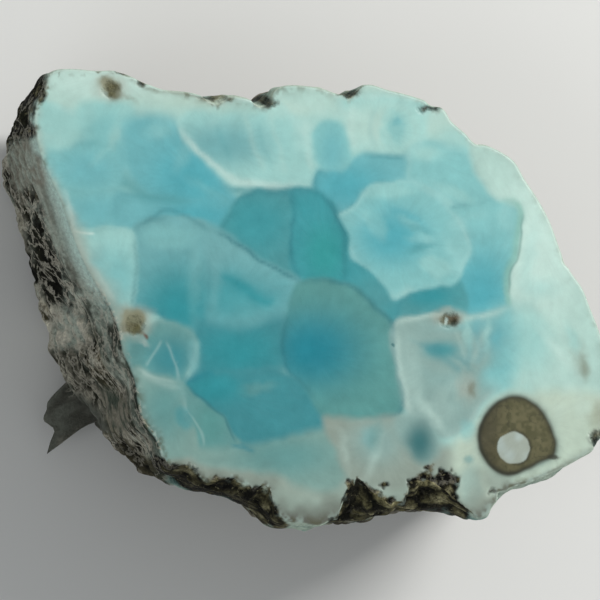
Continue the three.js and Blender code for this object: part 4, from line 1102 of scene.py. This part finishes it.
def paint_rind(points, degrees, depth, rough, crest, seen):
    """Colour of the broken and weathered outside, and how strongly it is veined."""
    broad = pattern("broad", points)
    streak_place = np.stack([degrees / 6, 1.3 * depth, 0 * depth], -1)
    streak = swell(streak_place, 1, 173) + 0.5 * swell(2.3 * streak_place, 1, 174)
    rough = np.maximum(rough, smooth(8, 12, depth))
    weathered = within(degrees, *WEATHERED)

    def toned(colour, low, high, share):
        return mixed(colour, rock_tone(crest, points, low, high), share)

    rust = smooth(0.15, 0.7, pattern("rust", points))
    dark = smooth(-0.1, 0.35, pattern("dark", points))
    rock = rock_tone(crest, points, "char", "stone")
    rock = toned(rock, "earth", "chalk", smooth(0.1, 0.7, broad))
    rock = toned(rock, "earth", "gold", 0.5 * rust)
    rock = toned(rock, "soot", "earth", 0.85 * dark)
    rock = stained(rock, "ash", 0.5 * weathered * smooth(0.5, 1.1, streak))

    fresh = rock_tone(crest, points, "dust", "ivory")
    fresh = toned(fresh, "sage", "frost", 0.6 * smooth(0.1, 0.7, broad))
    fresh = toned(fresh, "umber", "cream", 0.6 * rust)
    reach = FRESH_REACH + pattern("fresh reach", points)
    pale = (1 - smooth(reach - FRESH_FADE, reach + FRESH_FADE, depth)) * (1 - weathered)
    outside = mixed(rock, fresh, pale)

    low_down = smooth(*LOW_DOWN, degrees)
    shoulder = mixed(linear("stone"), linear("ash"), smooth(-1, 0.2, streak))
    shoulder = stained(shoulder, "chalk", 0.6 * smooth(0.3, 1, streak) * (1 - low_down))
    shaded = smooth(-0.1, 0.7, -streak) * smooth(1, 3, depth) * (0.35 + 0.65 * low_down)
    shoulder = stained(shoulder, "slate", 0.7 * shaded)
    shoulder = stained(shoulder, "slate", 0.5 * low_down * smooth(0.6, 2.4, depth))
    # Beside the face, where weathered: a painted highlight (snow) on the upper left that turns
    # lower down into a painted shadow line (slate); elsewhere ivory, the fresh stone's own colour
    face_edge_light_and_shade = mixed(linear("snow"), linear("slate"), smooth(*HIGHLIGHT_TO_SHADOW, degrees))
    face_edge_light_and_shade = mixed(linear("ivory"), face_edge_light_and_shade, weathered)
    shoulder = mixed(face_edge_light_and_shade, shoulder, weathered * smooth(0, 3, depth))
    grained = low_down * weathered * (1 - rough)
    lit = smooth(0.1, 0.6, pattern("shoulder", points) + 0.3 * streak)
    shoulder = stained(shoulder, "ash", 0.7 * grained * lit)
    shoulder = stained(shoulder, "soot", 0.6 * grained * smooth(0.1, 0.7, -streak))
    outside = mixed(shoulder, outside, rough)
    veined = np.maximum(rough * (0.3 + 0.7 * weathered) * (1 - 0.8 * pale), 0.7 * grained)
    moved = wavered(seen, ZONE_WAVES, 181)
    for low, high, strength, softness, zone_veined, corners in FLANK_ZONES:
        share = smooth(-softness, softness, inside_by(moved, corners))
        share = share * strength * smooth(*ZONES_FROM, degrees)
        outside = toned(outside, low, high, share)
        veined = veined * (1 - share) + zone_veined * share
    return outside, veined


def ring_rows():
    """Depth and undercut step of each row of the flank, from the face to the foot."""
    depths = EDGE_ROWS + list(np.arange(RIM_ROUND + ROW_STEP, 7, ROW_STEP))
    depths += list(np.arange(LOW_ROWS_FROM, BELLY_DEPTH - 0.2, LOW_ROW_STEP)) + [BELLY_DEPTH]
    steps = np.arange(1, UNDER_ROWS + 1) / UNDER_ROWS
    return np.array([(d, 0) for d in depths] + [(BELLY_DEPTH, s) for s in steps])


def filled(ring, inner):
    """Triangles that fill a ring of points, over the ring's points and then the inner."""
    flat = [Vector(p) for p in np.concatenate([ring, inner]).tolist()]
    found = delaunay_2d_cdt(flat, [], [list(range(len(ring)))], 1, 1e-7)
    first = [origins[0] for origins in found[3]]
    triangles = np.array([[first[i] for i in face] for face in found[2]])
    a, b, c = (np.array(flat)[triangles[:, k]] for k in range(3))
    turn = (b - a)[:, 0] * (c - a)[:, 1] - (b - a)[:, 1] * (c - a)[:, 0]
    triangles[turn < 0] = triangles[turn < 0][:, ::-1]
    return triangles


def hex_points(step, seed):
    """Slightly jittered points in a honeycomb pattern over the whole stone."""
    rows = np.arange(*ROWS_OVER, step * math.sqrt(0.75))
    columns = np.arange(*COLUMNS_OVER, step)
    x, y = np.meshgrid(columns, rows)
    x = x + (np.arange(len(rows)) % 2)[:, None] * step / 2
    i, j = np.indices(x.shape)
    x, y = (v + JITTER * step * (chance(i, j, k, seed) - 0.5) for k, v in enumerate((x, y)))
    return np.stack([x, y], -1).reshape(-1, 2)


def kept_inside(points, ring, margin):
    """The points that lie inside a ring round the middle, clear of it."""
    turn = directions(ring)
    order = np.argsort(turn)
    reach = np.hypot(*ring.T)[order]
    room = np.interp(directions(points), turn[order], reach, period=360)
    return points[np.hypot(*points.T) < room - margin]


def needs_detail(points):
    """Whether a place on the face is close to something finely drawn."""
    seen = as_seen(points)
    near = inside_by(seen, RING) > -DETAIL_REACH["ring"]
    off_eye = np.abs(np.linalg.norm(seen - EYE_PLACE, axis=1) - EYE_RADIUS)
    near |= off_eye < DETAIL_REACH["eye"]
    for corners in DARK_ROCK:
        near |= inside_by(seen, corners) > -DETAIL_REACH["dark rock"]
    turn = directions(points)
    crumbly = rim_crumbs_at(turn)[..., 0] > FINE_CRUMBS
    near |= (rim_radius(turn) - np.hypot(*points.T) < CRUMBLY_REACH) & crumbly
    for name, width, strength, corners in LINES:
        if width < FINE_WIDTH:
            gap, _ = line_distance(seen, rounded(corners, closed=False))
            near |= gap < DETAIL_REACH["line"]
    for name, strength, softness, *shape in SPOTS:
        if softness < FINE_SOFTNESS:
            near |= np.abs(oval(seen, *shape)) < DETAIL_REACH["spot"]
    return near


def band_triangles(points, columns, rows):
    """Triangles between the rows of the flank, each cell cut along its shorter diagonal."""
    a = np.arange(columns)
    b = (a + 1) % columns
    bands = []
    for upper in range(0, (rows - 1) * columns, columns):
        lower = upper + columns
        p, q, r, s = upper + a, upper + b, lower + b, lower + a
        spans = [np.linalg.norm(points[u] - points[v], axis=1) for u, v in ((p, r), (q, s))]
        short = (spans[0] < spans[1])[:, None]
        bands.append(np.where(short, np.stack([p, s, r], 1), np.stack([p, s, q], 1)))
        bands.append(np.where(short, np.stack([p, r, q], 1), np.stack([s, r, q], 1)))
    return bands


def build_stone():
    """Mesh of the stone with its colour and other facts on each point."""
    degrees = even_directions(COLUMN_STEP)
    rows = ring_rows()
    columns = len(degrees)
    all_degrees = np.tile(degrees, len(rows))
    depth, under = (np.repeat(rows[:, k], columns).astype(float) for k in (0, 1))
    shell, rough, crest = skin(all_degrees, depth, under)
    ring, foot = shell[:columns, :2], shell[-columns:, :2]

    coarse, fine = hex_points(FACE_STEP, 3), hex_points(DETAIL_STEP, 5)
    coarse = kept_inside(coarse[~needs_detail(coarse)], ring, FACE_MARGIN)
    fine = kept_inside(fine, ring, DETAIL_MARGIN)
    inner = np.concatenate([coarse, fine[needs_detail(fine)]])
    below = kept_inside(hex_points(FOOT_STEP, 7), foot, FOOT_MARGIN)

    seen_inner = as_seen(inner)
    dark_inner = dark_share(seen_inner)
    place = flat(inner)
    crumbs = knobs(place, DARK_CRUMB_SIZE, 191) + 0.5 * knobs(place, DARK_GRAIN_SIZE, 195)
    pits = pit_depth(inner)
    sunk = pits + dark_inner * (DARK_SUNK - DARK_CRUMBS * crumbs)
    lid = np.column_stack([inner, THICKNESS - np.maximum(0, sunk)])
    floor = flat(below)
    points = np.concatenate([shell, lid, floor])
    numbers = np.arange(len(points))
    lid_from, floor_from = len(shell), len(shell) + len(inner)
    lid_numbers = np.concatenate([numbers[:columns], numbers[lid_from:floor_from]])
    foot_numbers = np.concatenate([numbers[lid_from - columns:lid_from], numbers[floor_from:]])
    triangles = np.concatenate(band_triangles(points, columns, len(rows)) + [
        lid_numbers[filled(ring, inner)], foot_numbers[filled(foot, below)][:, ::-1]
    ])

    none = np.zeros(len(below))
    seen = as_seen(shell, THICKNESS - shell[:, 2])
    spread = 0.4 + 0.6 * smooth(0, 0.8, depth)
    dark_shell = dark_share(seen, spread) * smooth(9, 5.5, depth + pattern("dark foot", shell))
    face, fibre_shell, clear_shell = paint_face(seen)
    rind_shell, veined_shell = paint_rind(
        shell, all_degrees, depth + UNDERCUT_AS_DEPTH * under, rough, crest, seen
    )
    edge = smooth(0, EDGE_BLEND, depth)
    face = paint_rim_shade_and_crumbs(face, all_degrees, 0, shell * (1, 1, 0))
    tint_shell = mixed(face, rind_shell, edge)
    face, fibre_lid, clear_lid = paint_face(seen_inner)
    turn = directions(inner)
    tint_lid = paint_rim_shade_and_crumbs(face, turn, rim_radius(turn) - np.hypot(*inner.T), place)
    crest_floor = knobs(floor, CRUMB_SIZE, 61) + 0.5 * knobs(floor, GRIT_SIZE, 71)
    tint_floor, veined_floor = paint_rind(
        floor, none, none + FOOT_AS_DEPTH, none + 1, crest_floor, as_seen(floor, THICKNESS)
    )

    corner = smooth(-0.4, 0.4, inside_by(seen, FLANK_ZONES[0][-1]))
    corner = corner * within(all_degrees, *CORNER)
    dark = np.concatenate([dark_shell, dark_inner, none])
    crests = np.concatenate([crest, crumbs, none])
    rock = rock_tone(1.4 * crests - 0.3, points, "soot", "bark")
    grains = smooth(0.75, 1.2, crests + pattern("dark grains", points))
    rock = stained(rock, "sand", 0.7 * grains)
    shaded = within(all_degrees, *SHADED) * smooth(0.5, 1.8, depth)
    light = 1 - 0.7 * shaded + 0.9 * within(all_degrees, *BRIGHT)
    rock[: len(shell)] *= light[:, None]
    tint = mixed(np.concatenate([tint_shell, tint_lid, tint_floor]), rock, dark)
    fibre = np.concatenate([fibre_shell, fibre_lid, 0 * floor])
    rind = np.concatenate([edge, smooth(0.005, 0.06, pits), none + 1])
    facts = {
        "rind": np.maximum(rind, dark),
        "clear": np.concatenate([clear_shell, clear_lid, none]),
        "veined": np.concatenate([veined_shell, 0.3 * dark_inner, veined_floor]),
        "dark": np.concatenate([np.maximum(dark_shell, corner), dark_inner, none]),
    }
    return points, triangles, tint, fibre, facts


def make_object(points, triangles):
    moved = (points - (*MIDDLE, 0)) * MM
    mesh = bpy.data.meshes.new("larimar")
    mesh.from_pydata(moved.tolist(), [], triangles.tolist())
    mesh.shade_smooth()
    stone = bpy.data.objects.new("larimar", mesh)
    bpy.context.collection.objects.link(stone)
    return stone


def add_fact(name, kind, field, values):
    layer = stone.data.attributes.new(name, kind, "POINT")
    layer.data.foreach_set(field, values.ravel().astype(np.float32))


points, triangles, tint, fibre, facts = build_stone()
stone = make_object(points, triangles)
opaque = np.column_stack([np.clip(tint, 0, 1), np.ones(len(tint))])
add_fact("tint", "FLOAT_COLOR", "color", opaque)
add_fact("fibre", "FLOAT_VECTOR", "vector", fibre)
for name, values in facts.items():
    add_fact(name, "FLOAT", "value", values)


# Material
material = bpy.data.materials.new("larimar")
material.use_nodes = True
tree = material.node_tree
tree.nodes.clear()


def make(kind, inputs=None, **settings):
    made = tree.nodes.new(kind)
    for key, value in settings.items():
        setattr(made, key, value)
    for key, value in (inputs or {}).items():
        if isinstance(value, bpy.types.NodeSocket):
            tree.links.new(value, made.inputs[key])
        else:
            made.inputs[key].default_value = value
    return made


def maths(operation, a, b=0.0):
    return make("ShaderNodeMath", {0: a, 1: b}, operation=operation).outputs[0]


def plus(a, b):
    return maths("ADD", a, b)


def times(a, b):
    return maths("MULTIPLY", a, b)


def vector(operation, inputs, output=0):
    return make("ShaderNodeVectorMath", inputs, operation=operation).outputs[output]


def combined(x, y, z=0.0):
    return make("ShaderNodeCombineXYZ", {0: x, 1: y, 2: z}).outputs[0]


def ranged(value, low, high):
    """Share from 0 to 1 of a value between two limits."""
    return make("ShaderNodeMapRange", {0: value, 1: low, 2: high}).outputs[0]


def noise(place, scale, detail, rough):
    """Noise from about -1 to 1."""
    made = make(
        "ShaderNodeTexNoise",
        {"Vector": place, "Scale": scale, "Detail": detail, "Roughness": rough},
    )
    return times(maths("SUBTRACT", made.outputs[0], 0.5), 3.0)


def given(name, output="Fac"):
    return make("ShaderNodeAttribute", attribute_name=name).outputs[output]


def by_part(on_face, on_rock):
    """A value of the face and one of the rock, each by its share."""
    return plus(times(on_face, face_share), times(on_rock, rock_share))


def blended(share, base, name):
    """The base colour with a share of a named one."""
    return make(
        "ShaderNodeMix", {0: share, 6: base, 7: (*linear(name), 1)}, data_type="RGBA"
    ).outputs[2]


# Noises of the material: scale per mm, detail and roughness
CLOUDS, SPECKS, GRIT = (0.7, 5.0, 0.55), (3.5, 3.0, 0.6), (2.2, 6.0, 0.7)
RUBBLE, FLECKS = (2.2, 5.0, 0.65), (2.1, 3.0, 0.6)
STRANDS, PATCHY, NEEDLES = (0.34, 6.0, 0.6), (0.22, 5.0, 0.65), (1.0, 4.0, 0.6)

# How far they change the tone, the roughness and the height of the bumps
NEEDLE_TONE, CLOUD_TONE, SPECK_TONE, GRIT_TONE, PATCHY_TONE = 0.06, 0.07, 0.025, 0.45, 1.3
DARK_RUBBLE_TONE, VEINED_RUBBLE_TONE, DARKEST = 1.2, 0.7, 0.12
FACE_ROUGHNESS, CLOUD_ROUGHNESS, ROCK_ROUGHNESS, GRIT_ROUGHNESS = 0.34, 0.05, 0.74, 0.08
FACE_BUMP, GRIT_BUMP, RUBBLE_BUMP, BUMP_STRENGTH = 0.003, 0.2, 0.2, 0.8

# Gloss of the rock, what the polish adds, and how much light the stone lets in and how deep
IOR, ROCK_GLOSS, POLISH, GLOW, GLOW_DEPTH = 1.5, 0.1, 0.3, 0.12, 0.8 * MM

# Needles that fan out from the heart of a patch: how many, how much they change along
# their length and from patch to patch, and how far from the heart they set in
NEEDLE_COUNT, NEEDLE_CHANGE, PATCH_CHANGE, NEEDLES_FROM = 9.0, 0.35, 5.3, (1.0, 4.0)

# Veins: how thin and how strong. Flecks: between which noise values, and how strong.
VEIN_THINNESS, VEIN_STRENGTH = 8.0, 0.8
FLECKS_BETWEEN, FLECK_STRENGTH = (0.3, 0.6), 0.75

in_mm = vector("SCALE", {0: make("ShaderNodeTexCoord").outputs["Object"], 3: 1 / MM})
rock_share = given("rind")
face_share = maths("SUBTRACT", 1.0, rock_share)
dark, veined = given("dark"), given("veined")
clouds, specks, grit, rubble = (noise(in_mm, *v) for v in (CLOUDS, SPECKS, GRIT, RUBBLE))

from_heart = make("ShaderNodeSeparateXYZ", {0: given("fibre", "Vector")}).outputs
off = combined(from_heart[0], from_heart[1])
reach = vector("LENGTH", {0: off}, "Value")
fan = vector("SCALE", {0: vector("NORMALIZE", {0: off}), 3: NEEDLE_COUNT})
fan = make("ShaderNodeSeparateXYZ", {0: fan}).outputs
along = plus(times(reach, NEEDLE_CHANGE), times(from_heart[2], PATCH_CHANGE))
needles = times(
    noise(combined(fan[0], fan[1], along), *NEEDLES),
    times(ranged(reach, *NEEDLES_FROM), given("clear")),
)

layered = vector("MULTIPLY", {0: in_mm, 1: (1, 1, 2)})
strands = maths("ABSOLUTE", noise(layered, *STRANDS))
veins = maths("MAXIMUM", maths("SUBTRACT", 1.0, times(strands, VEIN_THINNESS)), 0.0)
veins = times(veins, times(veined, VEIN_STRENGTH))
patchy = times(noise(layered, *PATCHY), times(veined, PATCHY_TONE))
flecks = ranged(noise(in_mm, *FLECKS), *FLECKS_BETWEEN)

rubble_tone = plus(times(dark, DARK_RUBBLE_TONE), times(veined, VEINED_RUBBLE_TONE))
change = by_part(
    plus(times(needles, NEEDLE_TONE), plus(times(clouds, CLOUD_TONE), times(specks, SPECK_TONE))),
    plus(plus(times(grit, GRIT_TONE), patchy), times(rubble, rubble_tone)),
)
gain = maths("MAXIMUM", plus(change, 1.0), DARKEST)
tone = vector("SCALE", {0: given("tint", "Color"), 3: gain})
tone = blended(veins, tone, "chalk")
tone = blended(times(times(flecks, dark), FLECK_STRENGTH), tone, "sand")
roughness = by_part(
    plus(times(clouds, CLOUD_ROUGHNESS), FACE_ROUGHNESS),
    plus(times(grit, GRIT_ROUGHNESS), ROCK_ROUGHNESS),
)
height = plus(
    times(plus(specks, needles), times(face_share, FACE_BUMP)),
    plus(times(grit, times(rock_share, GRIT_BUMP)), times(rubble, times(dark, RUBBLE_BUMP))),
)
bump = make("ShaderNodeBump", {"Strength": BUMP_STRENGTH, "Distance": MM, "Height": height})
shader = make("ShaderNodeBsdfPrincipled", {
    "Base Color": tone, "Roughness": roughness, "Normal": bump.outputs[0], "IOR": IOR,
    "Specular IOR Level": plus(times(face_share, POLISH), ROCK_GLOSS),
    "Subsurface Weight": GLOW, "Subsurface Scale": GLOW_DEPTH,
    "Subsurface Radius": (1.0, 1.0, 1.0),
})
output = make("ShaderNodeOutputMaterial")
tree.links.new(shader.outputs[0], output.inputs[0])
stone.data.materials.append(material)

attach(stone, "root")
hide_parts(NODE)


# Floor, light and camera. Each lamp has its direction, distance, size, power and colour.
FLOOR_SIZE, FLOOR_COLOUR, FLOOR_ROUGHNESS = 4, (0.72, 0.72, 0.7, 1), 0.8
SKY_COLOUR, SKY_STRENGTH = (0.95, 0.98, 1, 1), 0.32
LAMPS = {
    "key": ((0.75, 0.55, 0.75), 0.6, 0.22, 3.3, (1, 0.99, 0.97)),
    "fill": ((-0.8, -0.5, 0.7), 0.9, 0.5, 1.7, (0.93, 0.97, 1)),
}
CAMERA_DISTANCE, FRAME_WIDTH, SENSOR = 1.2, 0.072, 36
scene = bpy.context.scene

bpy.ops.mesh.primitive_plane_add(size=FLOOR_SIZE)
floor = bpy.context.object
floor.name = "floor"
floor_material = bpy.data.materials.new("floor")
floor_material.use_nodes = True
floor_shader = floor_material.node_tree.nodes["Principled BSDF"]
floor_shader.inputs["Base Color"].default_value = FLOOR_COLOUR
floor_shader.inputs["Roughness"].default_value = FLOOR_ROUGHNESS
floor.data.materials.append(floor_material)

scene.world = bpy.data.worlds.new("studio")
scene.world.use_nodes = True
sky = scene.world.node_tree.nodes["Background"]
sky.inputs[0].default_value = SKY_COLOUR
sky.inputs[1].default_value = SKY_STRENGTH
scene.view_settings.view_transform = "Standard"

for name, (toward, distance, size, power, colour) in LAMPS.items():
    lamp = bpy.data.lights.new(name, "AREA")
    lamp.size = size
    lamp.energy = power
    lamp.color = colour
    holder = bpy.data.objects.new(name, lamp)
    direction = Vector(toward).normalized()
    holder.location = direction * distance
    holder.rotation_euler = direction.to_track_quat("Z", "Y").to_euler()
    scene.collection.objects.link(holder)

toward_eye = Vector((-TURN_SIN * TIP_COS, -TIP_SIN, TURN_COS * TIP_COS))
right = Vector((TURN_COS, 0, TURN_SIN))
turned = Matrix((right, toward_eye.cross(right), toward_eye)).transposed().to_4x4()
target = Vector((-MIDDLE[0], -MIDDLE[1], THICKNESS)) * MM
camera_data = bpy.data.cameras.new("camera")
camera_data.sensor_width = SENSOR
camera_data.lens = SENSOR * CAMERA_DISTANCE / FRAME_WIDTH
camera_data.clip_start, camera_data.clip_end = 0.05, 10
camera = bpy.data.objects.new("camera", camera_data)
camera.matrix_world = Matrix.Translation(target + CAMERA_DISTANCE * toward_eye) @ turned
scene.collection.objects.link(camera)
scene.camera = camera
